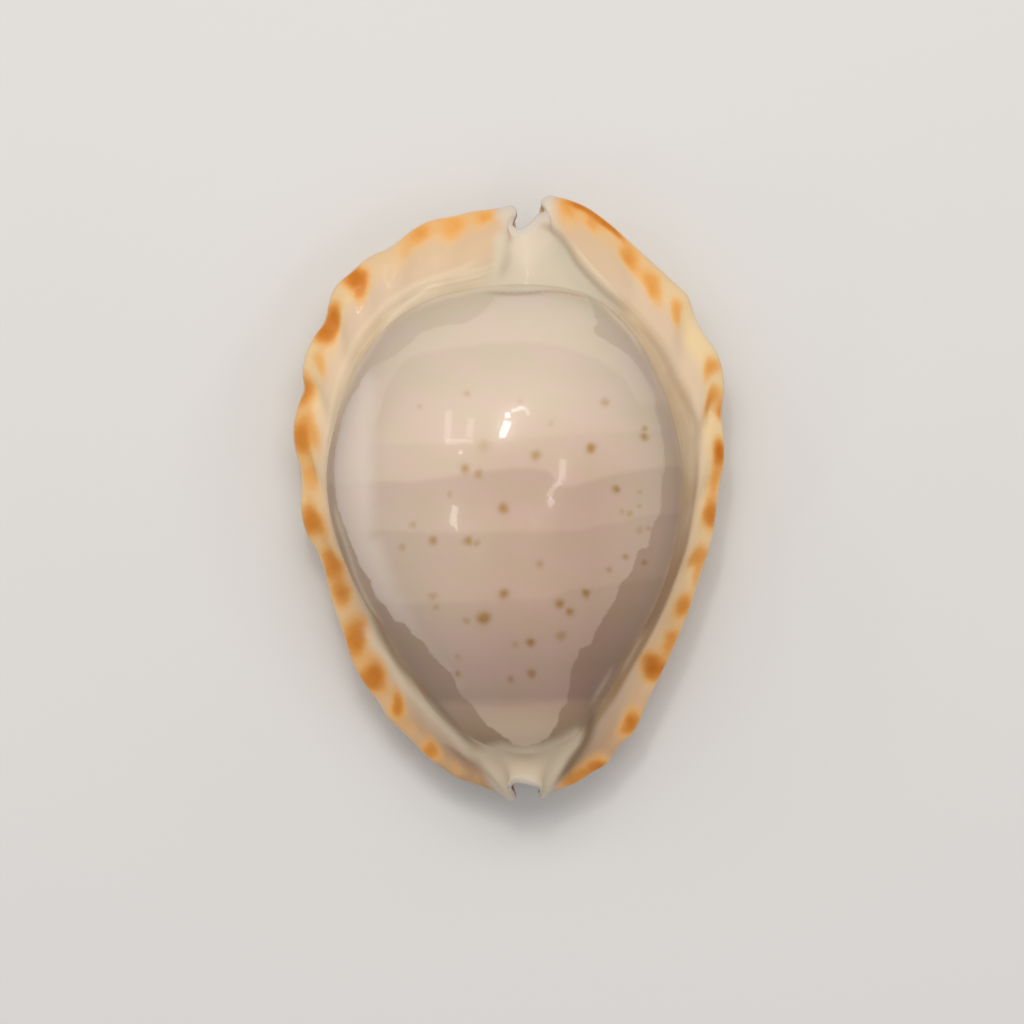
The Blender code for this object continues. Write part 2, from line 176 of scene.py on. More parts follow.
def ramp(value: np.ndarray, low: float, high: float) -> np.ndarray:
    """Rise smoothly from 0 at low to 1 at high."""
    t = np.clip((value - low) / (high - low), 0.0, 1.0)
    return t * t * (3.0 - 2.0 * t)


def softened(values: np.ndarray, times: int) -> np.ndarray:
    """Mix each value of a closed row with its two neighbours, several times over."""
    for _ in range(times):
        beside = np.roll(values, 1, axis=0) + np.roll(values, -1, axis=0)
        values = 0.5 * values + 0.25 * beside
    return values


def span_gaps(plan: np.ndarray,
              corners: np.ndarray) -> Iterator[tuple[np.ndarray, np.ndarray, float]]:
    """Measure how far points lie from each straight span of a line.

    Args:
        plan: The points, with X and Y in the last axis.
        corners: The line's corners.

    Yields:
        For each span, every point's distance from it, how far along it that is, and its length.
    """
    for start, end in zip(corners[:-1], corners[1:]):
        span = end - start
        length = np.linalg.norm(span)
        part = np.clip((plan - start) @ span / (span @ span), 0.0, 1.0)
        yield np.linalg.norm(plan - start - part[..., None] * span, axis=-1), part * length, length


def line_weight(plan: np.ndarray, line: Places, half_width: float, taper: float) -> np.ndarray:
    """Weigh points by how near they lie to a smooth line that fades out at both ends.

    Args:
        plan: The points, with X and Y in the last axis.
        line: Points that the line runs through.
        half_width: Distance from the line at which the weight has fallen to about a third.
        taper: Distance over which each end fades out.

    Returns:
        The weight of each point, from 0 to 1.
    """
    nearest = np.full(plan.shape[:-1], np.inf)
    place = np.zeros(plan.shape[:-1])
    travelled = 0.0
    for gap, reached, length in span_gaps(plan, hermite(line, LINE_STEPS)):
        place = np.where(gap < nearest, travelled + reached, place)
        nearest = np.minimum(nearest, gap)
        travelled += length
    to_end = np.minimum(place, travelled - place)
    return np.exp(-(nearest / half_width) ** 2) * (1.0 - np.exp(-(to_end / taper) ** 2))


def inside_distance(plan: np.ndarray, outline: Places) -> np.ndarray:
    """Measure how deep points lie inside a closed outline.

    Args:
        plan: The points, with X and Y in the last axis.
        outline: The outline's corners.

    Returns:
        The distance to the outline, positive inside and negative outside.
    """
    x, y = plan[..., 0], plan[..., 1]
    inside = np.zeros(x.shape, bool)
    nearest = np.full(x.shape, np.inf)
    corners = np.asarray(outline + outline[:1], float)
    for (x0, y0), (x1, y1) in zip(corners[:-1], corners[1:]):
        crosses = (y0 > y) != (y1 > y)
        reach = (x1 - x0) * (y - y0) / (y1 - y0 if y1 != y0 else 1.0) + x0
        inside ^= crosses & (x < reach)
    for gap, _, _ in span_gaps(plan, corners):
        nearest = np.minimum(nearest, gap)
    return np.where(inside, nearest, -nearest)


@dataclass(frozen=True)
class ShellForm:
    """The shell's sizes, and the guide loops that its skin is lofted through.

    The loops start at the top of the back, run down the dome, across the flange and round its
    edge, under the base to the lips, then through the aperture and over the inside of the body
    cavity. Every loop has the same columns, counter-clockwise as seen from above: columellar
    flank, posterior notch, labral flank, anterior notch.
    """

    height: float = 33.0
    wall: float = 2.2
    pole: tuple[float, float] = (0.4, 3.0)

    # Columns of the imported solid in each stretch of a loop, and how many of these skin's columns
    # each of them makes
    flank_columns: int = 62
    labral_columns: int = 88
    notch_columns: int = 14
    fineness: int = 3

    # Edge of the flange: columellar side towards the posterior tip, then outer-lip side back
    columellar_edge: Places = (
        (3.7, -32.6), (4.3, -32.1), (5.3, -31.6), (7.3, -30.8), (9.0, -29.7), (10.5, -28.8),
        (12.0, -26.8), (13.1, -25.8), (15.3, -21.4), (17.9, -16.0), (19.4, -12.4), (20.8, -8.0),
        (21.8, -5.1), (22.8, 1.4), (23.3, 4.1), (23.3, 6.5), (23.0, 9.2), (23.3, 12.1),
        (22.5, 16.0), (21.1, 17.9), (20.3, 19.3), (19.2, 22.3), (17.9, 23.5), (14.0, 27.1),
        (10.4, 30.3), (8.4, 31.7), (6.5, 32.5), (4.3, 33.0),
    )
    labral_edge: Places = (
        (0.2, 31.9), (-0.7, 31.7), (-2.1, 31.5), (-4.3, 31.2), (-5.8, 30.8), (-9.0, 30.1),
        (-10.6, 29.2), (-12.7, 27.5), (-15.7, 26.0), (-16.8, 25.0), (-19.2, 22.6), (-19.6, 21.4),
        (-20.1, 19.3), (-21.3, 17.6), (-22.2, 15.6), (-22.5, 13.6), (-22.3, 12.1), (-23.0, 10.2),
        (-23.5, 7.8), (-23.3, 5.4), (-22.7, 3.2), (-22.6, 1.0), (-22.7, -0.9), (-22.0, -3.9),
        (-20.9, -5.7), (-20.3, -7.2), (-19.7, -9.6), (-18.8, -12.7), (-18.1, -14.5),
        (-17.2, -17.5), (-16.3, -19.3), (-14.0, -22.5), (-13.2, -23.9), (-11.1, -25.8),
        (-9.7, -27.3), (-7.2, -29.4), (-5.6, -30.4), (-3.9, -31.0), (-1.3, -32.0), (-0.6, -32.5),
        (0.2, -33.0),
    )

    # Rims of the two notches, from tip to tip over the canal's roof
    posterior_rim: Places = (
        (4.3, 33.0, 8.6), (3.5, 32.5, 8.8), (3.4, 32.0, 9.1), (3.8, 31.3, 9.7), (3.0, 30.8, 10.9),
        (2.6, 30.2, 11.8), (2.1, 29.7, 12.4), (1.1, 29.1, 12.8), (0.4, 29.5, 12.0),
        (0.5, 30.3, 10.7), (0.8, 31.2, 9.4), (0.6, 31.7, 8.9), (0.2, 31.9, 8.7),
    )
    anterior_rim: Places = (
        (0.2, -33.0, 6.6), (0.6, -32.6, 7.2), (0.5, -31.8, 8.8), (0.2, -31.1, 10.2),
        (0.6, -30.7, 11.0), (1.7, -30.8, 11.4), (2.7, -31.1, 11.1), (3.2, -31.4, 10.3),
        (3.2, -32.0, 8.9), (3.3, -32.5, 7.8), (3.7, -32.6, 7.2),
    )

    # Foot of the dome, closed, with the four corners where the loops' stretches meet
    foot: Places = (
        (5.5, -26.4, 12.2), (7.8, -24.8, 11.6), (11.3, -19.1, 10.5), (16.0, -10.9, 10.4),
        (18.3, -2.2, 10.8), (18.4, 4.8, 11.3), (16.5, 11.7, 12.0), (12.7, 18.4, 13.4),
        (9.0, 21.7, 14.4), (3.0, 22.9, 15.2), (-3.2, 22.6, 14.6), (-8.0, 21.6, 13.4),
        (-12.3, 19.3, 12.0), (-15.9, 15.0, 11.0), (-18.4, 9.0, 10.2), (-19.7, 2.5, 9.6),
        (-18.6, -4.2, 9.3), (-15.8, -10.6, 9.4), (-11.6, -17.4, 10.0), (-7.0, -23.8, 11.2),
        (-1.9, -26.5, 12.5), (1.8, -27.3, 12.7),
    )
    foot_corners: tuple[int, ...] = (0, 8, 10, 20, 22)
    foot_softening: int = 150

    # Height of the flange's edge at distances along the shell
    edge_stations: tuple[float, ...] = (-33.0, -25.0, -12.0, 4.0, 18.0, 27.0, 33.0)
    columellar_height: tuple[float, ...] = (7.2, 7.0, 7.4, 7.9, 8.4, 8.7, 8.6)
    labral_height: tuple[float, ...] = (6.6, 6.3, 6.4, 6.8, 7.8, 8.6, 8.7)

    # Grooved band outside the dome's foot, as a part of the way to the edge along each flank, and
    # the flange's loops: their places, and their shares of the fall on a flank and on a saddle
    band_stations: tuple[float, ...] = (0.0, 0.15, 0.5, 0.75, 1.0)
    columellar_band: tuple[float, ...] = (0.30, 0.34, 0.58, 0.46, 0.32)
    labral_band: tuple[float, ...] = (0.32, 0.30, 0.20, 0.28, 0.32)
    flange_places: Places = ((0.4, 0.0), (1.0, 0.0), (1.0, 0.55))
    flange_fall: tuple[float, ...] = (0.38, 0.52, 0.72)
    saddle_softening: int = 90
    saddle_fall: tuple[float, ...] = (0.10, 0.26, 0.58)

    # Aperture: its middle line, width and lip height at distances along the shell
    slot_stations: tuple[float, ...] = (-31.4, -27.5, -22.0, -14.0, -4.0, 6.0, 16.0, 24.0, 31.0)
    slot_middle: tuple[float, ...] = (1.7, 1.1, -0.8, -2.9, -3.9, -3.5, -1.9, 0.3, 1.9)
    slot_width: tuple[float, ...] = (2.7, 4.0, 6.2, 6.2, 5.0, 4.5, 4.1, 3.4, 2.6)
    lip_height: tuple[float, ...] = (5.0, 3.6, 2.2, 1.9, 1.9, 1.9, 2.1, 3.4, 5.8)
    slot_ends: tuple[float, float] = (-31.4, 31.0)
    slot_points: int = 40
    posterior_roof: Places = (
        (3.2, 31.0, 5.8), (3.0, 30.3, 7.6), (2.6, 29.4, 9.4), (2.0, 28.4, 10.7), (1.1, 27.7, 11.2),
        (0.6, 28.4, 10.7), (0.5, 29.4, 9.4), (0.5, 30.3, 7.6), (0.6, 31.0, 5.8),
    )
    anterior_roof: Places = (
        (0.35, -31.4, 5.0), (0.4, -30.7, 7.0), (0.6, -29.7, 8.9), (1.7, -29.2, 9.6),
        (2.8, -29.7, 8.9), (3.0, -30.7, 7.0), (3.05, -31.4, 5.0),
    )

    # Base: where it stops touching the surface, how it rises beyond, and its loops
    base_flat_end: float = 9.0
    base_rise: float = 0.0095
    base_steps: Places = (
        (0.16, 0.46, 0.0), (0.36, 0.10, 0.0), (0.58, 0.0, 0.0), (0.74, 0.0, 0.0), (0.90, 0.0, 0.55),
    )
    base_widening: tuple[float, float] = (1.5, 9.0)

    # Roundness of the flange's edge and of the four tips
    edge_set_back: float = 1.3
    edge_top: float = 1.0
    edge_under: float = 2.0
    tip_set_back: float = 0.3
    tip_top: float = 0.5
    tip_under: float = 0.6
    tip_near: float = 0.5
    tip_reach: float = 4.5
    notch_roundness: float = 0.4

    # Dome
    dome_angles: tuple[float, ...] = (10.0, 20.0, 31.0, 42.0, 53.0, 64.0, 74.0, 83.0)
    dome_fullness: float = 0.13
    lean_stations: tuple[float, ...] = (-29.0, -20.0, -8.0, 8.0, 17.0, 23.0)
    dome_lean: tuple[float, ...] = (1.5, 1.28, 1.02, 0.95, 1.02, 1.15)

    # Mouth and cavity
    mouth_rise: float = 2.1
    mouth_lean: float = 0.15
    canal_reach: float = 8.0
    canal_corner: float = 0.6
    canal_sag: float = 2.4
    cavity_floor: float = 5.0
    floor_follows_base: float = 0.6
    floor_parts: tuple[float, ...] = (0.18, 0.6)
    floor_reach: tuple[float, float] = (1.0, 15.0)
    floor_widening: tuple[float, float] = (3.0, 10.0)
    side_angle: float = 80.0
    ceiling_angles: tuple[float, ...] = (62.0, 36.0)

    # Scallops and teeth, with the columns over which the first tooth grows and the last one fades
    troughs: Places = (
        (11.2, -27.8), (12.2, -26.6), (15.9, -20.2), (18.3, -15.0), (21.0, -7.5), (22.7, 1.2),
        (23.0, 9.2), (20.5, 18.9), (14.0, 27.1), (-6.0, 30.6), (-12.6, 27.6), (-16.8, 25.0),
        (-20.0, 19.3), (-22.3, 12.1), (-22.6, 2.6), (-20.4, -7.0), (-19.1, -10.9), (-18.1, -14.4),
        (-14.0, -22.4), (-11.1, -25.7), (-3.9, -31.0),
    )
    furrow_depth: float = 0.32
    furrow_half_width: float = 1.3
    tooth_columns: int = 4
    tooth_grow: tuple[int, int] = (-1, 1)
    tooth_fade: tuple[int, int] = (-2, 0)
    labral_teeth: tuple[int, int] = (4, 84)
    labral_tooth: float = 0.55
    columellar_teeth: tuple[int, int] = (3, 31)
    columellar_tooth: float = 0.28
    lip_tooth_drop: float = 0.3
    base_tooth_drop: float = 0.5

    # Rings of this skin: on the dome, between each two loops from the last dome ring to the
    # cavity's side wall, and over the ceiling
    dome_rings: int = 54
    ring_steps: tuple[int, ...] = (4, 8, 12, 10, 8, 6, 6, 7, 6, 6, 4, 5, 5, 5, 4, 5, 5)
    ceiling_rings: int = 12

    # Rounds of evening along the flange, and where it is in full, in loops from the foot and the rim
    flange_evening: int = 14
    evening_from: float = 0.6
    evening_to: float = 0.8

    def four_stretches(self, columellar: Places, posterior: Places, labral: Places,
                       anterior: Places) -> np.ndarray:
        """Join the four stretches of a closed loop.

        Args:
            columellar: Points of the columellar flank, anterior end first.
            posterior: Points round the posterior notch.
            labral: Points of the outer-lip flank, posterior end first.
            anterior: Points round the anterior notch.

        Returns:
            The loop, one row for each column.
        """
        return np.vstack([
            along(columellar, self.flank_columns * self.fineness),
            along(posterior, self.notch_columns * self.fineness),
            along(labral, self.labral_columns * self.fineness),
            along(anterior, self.notch_columns * self.fineness),
        ])

    def flank_numbers(self) -> tuple[np.ndarray, np.ndarray, np.ndarray]:
        """Number the columns along the flanks.

        Returns:
            Each column's place along its flank from 0 to 1, and marks for the columellar and the
            outer-lip flank.
        """
        counts = np.array([self.flank_columns, self.notch_columns, self.labral_columns,
                           self.notch_columns]) * self.fineness
        stretch = np.repeat(np.arange(4), counts)
        place = np.concatenate([np.arange(count) / count for count in counts])
        return place, stretch == 0, stretch == 2

    def foot_loop(self) -> np.ndarray:
        """Return the loop round the dome's foot, softened so that the dome has no kinks."""
        wrapped = self.foot[-2:] + self.foot + self.foot[:3]
        curve = hermite(wrapped, CURVE_STEPS)[2 * CURVE_STEPS:(len(self.foot) + 2) * CURVE_STEPS]
        curve = softened(curve, self.foot_softening)
        curve = np.vstack([curve, curve[:1]])
        cuts = [corner * CURVE_STEPS for corner in self.foot_corners]
        return self.four_stretches(*(curve[a:b + 1] for a, b in zip(cuts, cuts[1:])))

    def edge_with_height(self, points: Places, heights: tuple[float, ...]) -> np.ndarray:
        """Give a flange edge drawn in plan its height above the surface."""
        plan = np.asarray(points, float)
        return np.column_stack([plan, smooth_value(plan[:, 1], self.edge_stations, heights)])

    def edge_loop(self) -> np.ndarray:
        """Return the outermost loop: the flange's edge and the notches' rims."""
        return self.four_stretches(
            self.edge_with_height(self.columellar_edge, self.columellar_height),
            self.posterior_rim,
            self.edge_with_height(self.labral_edge, self.labral_height),
            self.anterior_rim,
        )

    def slot_side(self, side: Side) -> np.ndarray:
        """Return one lip of the aperture, anterior end first."""
        y = np.linspace(*self.slot_ends, self.slot_points)
        middle = smooth_value(y, self.slot_stations, self.slot_middle)
        width = smooth_value(y, self.slot_stations, self.slot_width)
        height = smooth_value(y, self.slot_stations, self.lip_height)
        return np.column_stack([middle + side.value * width / 2.0, y, height])

    def lip_loop(self) -> np.ndarray:
        """Return the loop along both lips and round under the canals' roofs."""
        return self.four_stretches(self.slot_side(Side.COLUMELLAR), self.posterior_roof,
                                   self.slot_side(Side.LABRAL)[::-1], self.anterior_roof)

    def outward(self, loop: np.ndarray) -> np.ndarray:
        """Return the plan direction that faces away from the loop at each column."""
        step = 2 * self.fineness
        forward = np.roll(loop, -step, axis=0) - np.roll(loop, step, axis=0)
        normal = np.column_stack([forward[:, 1], -forward[:, 0], np.zeros(len(loop))])
        normal /= np.linalg.norm(normal, axis=1)[:, None]
        normal = (2.0 * normal + np.roll(normal, self.fineness, axis=0)
                  + np.roll(normal, -self.fineness, axis=0))
        return normal / np.linalg.norm(normal, axis=1)[:, None]

    def inward_way(self, loop: np.ndarray) -> np.ndarray:
        """Return the direction along the shell that leads from the nearer end to its middle."""
        way = np.zeros_like(loop)
        way[:, 1] = -np.sign(loop[:, 1])
        return way

    def tip_distance(self, edge: np.ndarray) -> np.ndarray:
        """Return how far each column's edge point is from the nearest of the four tips."""
        tips = (self.columellar_edge[0], self.columellar_edge[-1],
                self.labral_edge[0], self.labral_edge[-1])
        return np.min([np.linalg.norm(edge[:, :2] - np.array(tip), axis=1) for tip in tips], axis=0)

    def furrow_weight(self, edge: np.ndarray) -> np.ndarray:
        """Return how far each column lies in a trough between two scallops, from 0 to 1."""
        gaps = [np.linalg.norm(edge[:, :2] - np.array(trough), axis=1) for trough in self.troughs]
        return np.exp(-(np.min(gaps, axis=0) / self.furrow_half_width) ** 2)

    def tooth_wave(self) -> np.ndarray:
        """Return the teeth's relief in each column, positive on a ridge."""
        place, columellar, labral = self.flank_numbers()
        wave = np.zeros(len(place))
        for flank, (first, last), size in (
            (labral, self.labral_teeth, self.labral_tooth),
            (columellar, self.columellar_teeth, self.columellar_tooth),
        ):
            count = np.arange(flank.sum()) / self.fineness
            grow, fade = self.tooth_grow, self.tooth_fade
            ends = (ramp(count, first + grow[0], first + grow[1])
                    * (1.0 - ramp(count, last + fade[0], last + fade[1])))
            turn = 2.0 * np.pi * (count - first) / self.tooth_columns - np.pi
            wave[np.flatnonzero(flank)] = size * ends * np.cos(turn)
        return wave

    def dome_ring(self, foot: np.ndarray, angle: float, top: float, wall: float) -> np.ndarray:
        """Make a ring of the dome.

        Args:
            foot: The dome's foot.
            angle: The ring's angle from the top, in degrees.
            top: Height of the dome's top.
            wall: How far the ring is set in.

        Returns:
            The ring, one row for each column.
        """
        angle = math.radians(angle)
        pole = np.array([*self.pole, 0.0])
        reach = foot - pole
        length = np.linalg.norm(reach[:, :2], axis=1)
        fuller = self.dome_fullness * math.sin(angle) ** 2 * math.cos(angle)
        spread = math.sin(angle) * (1.0 + fuller)
        lean = smooth_value(foot[:, 1], self.lean_stations, self.dome_lean)
        ring = pole + reach * (spread * (1.0 - wall / length))[:, None]
        ring[:, 2] = foot[:, 2] + (top - foot[:, 2]) * math.cos(angle) ** lean
        return ring

    def flange_loops(self, foot: np.ndarray, edge_top: np.ndarray,
                     sinks: np.ndarray) -> list[np.ndarray]:
        """Return the loops between the dome's foot and the flange's edge."""
        place, columellar, labral = self.flank_numbers()
        band = np.full(len(place), self.columellar_band[-1])
        band[columellar] = smooth_value(place[columellar], self.band_stations, self.columellar_band)
        band[labral] = smooth_value(place[labral], self.band_stations, self.labral_band)
        saddle = softened((~(columellar | labral)).astype(float), self.saddle_softening)
        loops = []
        for (in_band, beyond), fall, saddle_fall in zip(
                self.flange_places, self.flange_fall, self.saddle_fall):
            loop = blend(foot, edge_top, band * in_band + (1.0 - band) * beyond)
            share = fall * (1.0 - saddle) + saddle_fall * saddle
            loop[:, 2] = foot[:, 2] - share * (foot - edge_top)[:, 2]
            loops.append(loop)
        loops[-1][:, 2] -= sinks
        return loops

    def base_height(self, loop: np.ndarray) -> np.ndarray:
        """Return how high the underside lies above the surface at each point of a loop."""
        return self.base_rise * np.maximum(np.abs(loop[:, 1]) - self.base_flat_end, 0.0) ** 2

    def base_loops(self, edge_under: np.ndarray, lip: np.ndarray,
                   teeth: np.ndarray) -> list[np.ndarray]:
        """Return the loops across the base, from the flange's edge to the lips."""
        width = np.linalg.norm((edge_under - lip)[:, :2], axis=1)
        broad = ramp(width, *self.base_widening)
        loops = []
        for part, share, rounding in self.base_steps:
            loop = blend(edge_under, lip, np.full(len(lip), part))
            ground = self.base_height(loop)
            resting = ground + share * (edge_under[:, 2] - ground) + rounding
            loop[:, 2] = loop[:, 2] * (1.0 - broad) + resting * broad
            loops.append(loop)
        loops[-1][:, 2] -= self.base_tooth_drop * teeth
        return loops

    def end_distance(self, lip: np.ndarray) -> np.ndarray:
        """Return how far each column's lip point is from the nearer end of the slot."""
        return np.minimum(lip[:, 1] - self.slot_ends[0], self.slot_ends[1] - lip[:, 1])

    def notch_turn(self, lip: np.ndarray) -> np.ndarray:
        """Return how far the wall's inside has turned: 0 is upright above a lip, 1 is level."""
        place, columellar, labral = self.flank_numbers()
        notch = ~(columellar | labral)
        turn = 0.5 * (1.0 - ramp(self.end_distance(lip), 0.0, self.canal_reach))
        roof = ramp(1.0 - np.abs(2.0 * place[notch] - 1.0), 0.0, self.canal_corner)
        turn[notch] = 0.5 + 0.5 * roof
        return turn

    def inner_loops(self, lip: np.ndarray, foot: np.ndarray, top: float) -> list[np.ndarray]:
        """Return the loops from the lips up into the cavity and over its ceiling."""
        turn = self.notch_turn(lip)
        lean = (turn * np.pi / 2.0)[:, None]
        upright = self.outward(lip) * self.mouth_lean + np.array([0.0, 0.0, 1.0])
        side = self.dome_ring(foot, self.side_angle, top, self.wall)
        rising = np.cos(lean) * upright + np.sin(lean) * self.inward_way(lip)
        mouth = lip + self.mouth_rise * rising
        across = np.linalg.norm((side - mouth)[:, :2], axis=1)
        open_floor = (ramp(across, *self.floor_widening)
                      * ramp(self.end_distance(lip), *self.floor_reach))
        loops = [mouth]
        for part in self.floor_parts:
            loop = blend(mouth, side, np.full(len(lip), part))
            loop[:, 2] = mouth[:, 2] + (side - mouth)[:, 2] * part ** (1.0 + self.canal_sag * turn)
            floor = self.cavity_floor + self.base_height(loop) * self.floor_follows_base
            loop[:, 2] = loop[:, 2] * (1.0 - open_floor) + floor * open_floor
            loops.append(loop)
        loops.append(side)
        loops.extend(self.dome_ring(foot, angle, top, self.wall) for angle in self.ceiling_angles)
        return loops

    def under_way(self, edge: np.ndarray, away: np.ndarray) -> np.ndarray:
        """Return the plan direction in which the underside leaves the edge."""
        _, columellar, labral = self.flank_numbers()
        notch = ~(columellar | labral)
        way = -away
        way[notch] = self.inward_way(edge)[notch]
        return way

    def guide_loops(self) -> np.ndarray:
        """Return every guide loop, from the dome's first ring to the cavity's ceiling."""
        edge, lip, foot = self.edge_loop(), self.lip_loop(), self.foot_loop()
        away = self.outward(edge)
        _, columellar, labral = self.flank_numbers()
        body = ramp(self.tip_distance(edge), self.tip_near, self.tip_reach)
        sinks = self.furrow_depth * self.furrow_weight(edge) * body
        teeth = self.tooth_wave()
        body = np.where(columellar | labral, body, self.notch_roundness * body)
        set_back = (self.tip_set_back + (self.edge_set_back - self.tip_set_back) * body)[:, None]
        edge_top = edge - away * set_back
        edge_top[:, 2] += self.tip_top + (self.edge_top - self.tip_top) * body - sinks
        edge_under = edge + self.under_way(edge, away) * set_back
        edge_under[:, 2] -= self.tip_under + (self.edge_under - self.tip_under) * body
        lip = lip - self.outward(lip) * teeth[:, None]
        lip[:, 2] -= self.lip_tooth_drop * teeth
        loops = [self.dome_ring(foot, angle, self.height, 0.0) for angle in self.dome_angles]
        loops.append(foot)
        loops.extend(self.flange_loops(foot, edge_top, sinks))
        loops.extend([edge_top, edge, edge_under])
        loops.extend(self.base_loops(edge_under, lip, teeth))
        loops.append(lip)
        loops.extend(self.inner_loops(lip, foot, self.height - self.wall))
        return np.array(loops)

    def lofted(self, guides: np.ndarray) -> tuple[np.ndarray, np.ndarray]:
        """Run smooth curves down the columns, from the last dome ring to the side wall.

        Args:
            guides: All guide loops.

        Returns:
            The rings, and each one's number among the guide loops, with whole numbers on them.
        """
        first = Loop.FOOT.value - 2
        used = guides[first:Loop.SIDE_WALL.value + 2]
        lengths = np.linalg.norm(np.diff(used, axis=0), axis=2)[:, :, None]
        slopes = np.diff(used, axis=0) / lengths
        before, after = lengths[:-1], lengths[1:]
        tangents = (slopes[1:] * before + slopes[:-1] * after) / (before + after)
        rings, numbers = [], []
        for span, steps in enumerate(self.ring_steps):
            start, end = used[span + 1], used[span + 2]
            leave = tangents[span] * lengths[span + 1]
            arrive = tangents[span + 1] * lengths[span + 1]
            for t in np.arange(1, steps + 1) / steps:
                rings.append(cubic(t, start, end, leave, arrive))
                numbers.append(first + 1 + span + t)
        return np.array(rings), np.array(numbers)

    def skin(self) -> tuple[np.ndarray, np.ndarray]:
        """Build the whole skin.

        Returns:
            Points by ring and column, and each ring's number among the guide loops.
        """
        guides = self.guide_loops()
        foot = guides[Loop.FOOT.value]
        angles = np.linspace(0.0, self.dome_angles[-1], self.dome_rings + 1)[1:]
        dome = np.array([self.dome_ring(foot, angle, self.height, 0.0) for angle in angles])
        marks = np.arange(-1, len(self.dome_angles))
        dome_numbers = np.interp(angles, (0.0, *self.dome_angles), marks)
        middle, middle_numbers = self.lofted(guides)
        over = np.linspace(self.side_angle, 0.0, self.ceiling_rings + 2)[1:-1]
        top = self.height - self.wall
        ceiling = np.array([self.dome_ring(foot, angle, top, self.wall) for angle in over])
        over_numbers = Loop.SIDE_WALL.value + 1.0 - over / self.side_angle
        points = np.concatenate([dome, middle, ceiling])
        numbers = np.concatenate([dome_numbers, middle_numbers, over_numbers])
        points = self.evened(points, numbers)
        points[..., 2] = np.maximum(points[..., 2], 0.0)
        return points, numbers

    def evened(self, points: np.ndarray, numbers: np.ndarray) -> np.ndarray:
        """Even out the flange's upper side along the rings, so that no column stands out."""
        foot, rim = Loop.FOOT.value, Loop.RIM_TOP.value
        amount = (ramp(numbers, foot, foot + self.evening_from)
                  * (1.0 - ramp(numbers, rim - self.evening_to, rim)))[:, None, None]
        for _ in range(self.flange_evening):
            beside = 0.5 * (np.roll(points, 1, axis=1) + np.roll(points, -1, axis=1))
            points = points + 0.5 * amount * (beside - points)
        return points


@dataclass(frozen=True)
class Ridge:
    """A raised or sunken growth line on the shell's upper side, drawn in plan; a negative paleness
    darkens it, partly by its own colour and partly as painted shade in the furrow.
    """

    line: Places
    height: float
    half_width: float
    paleness: float


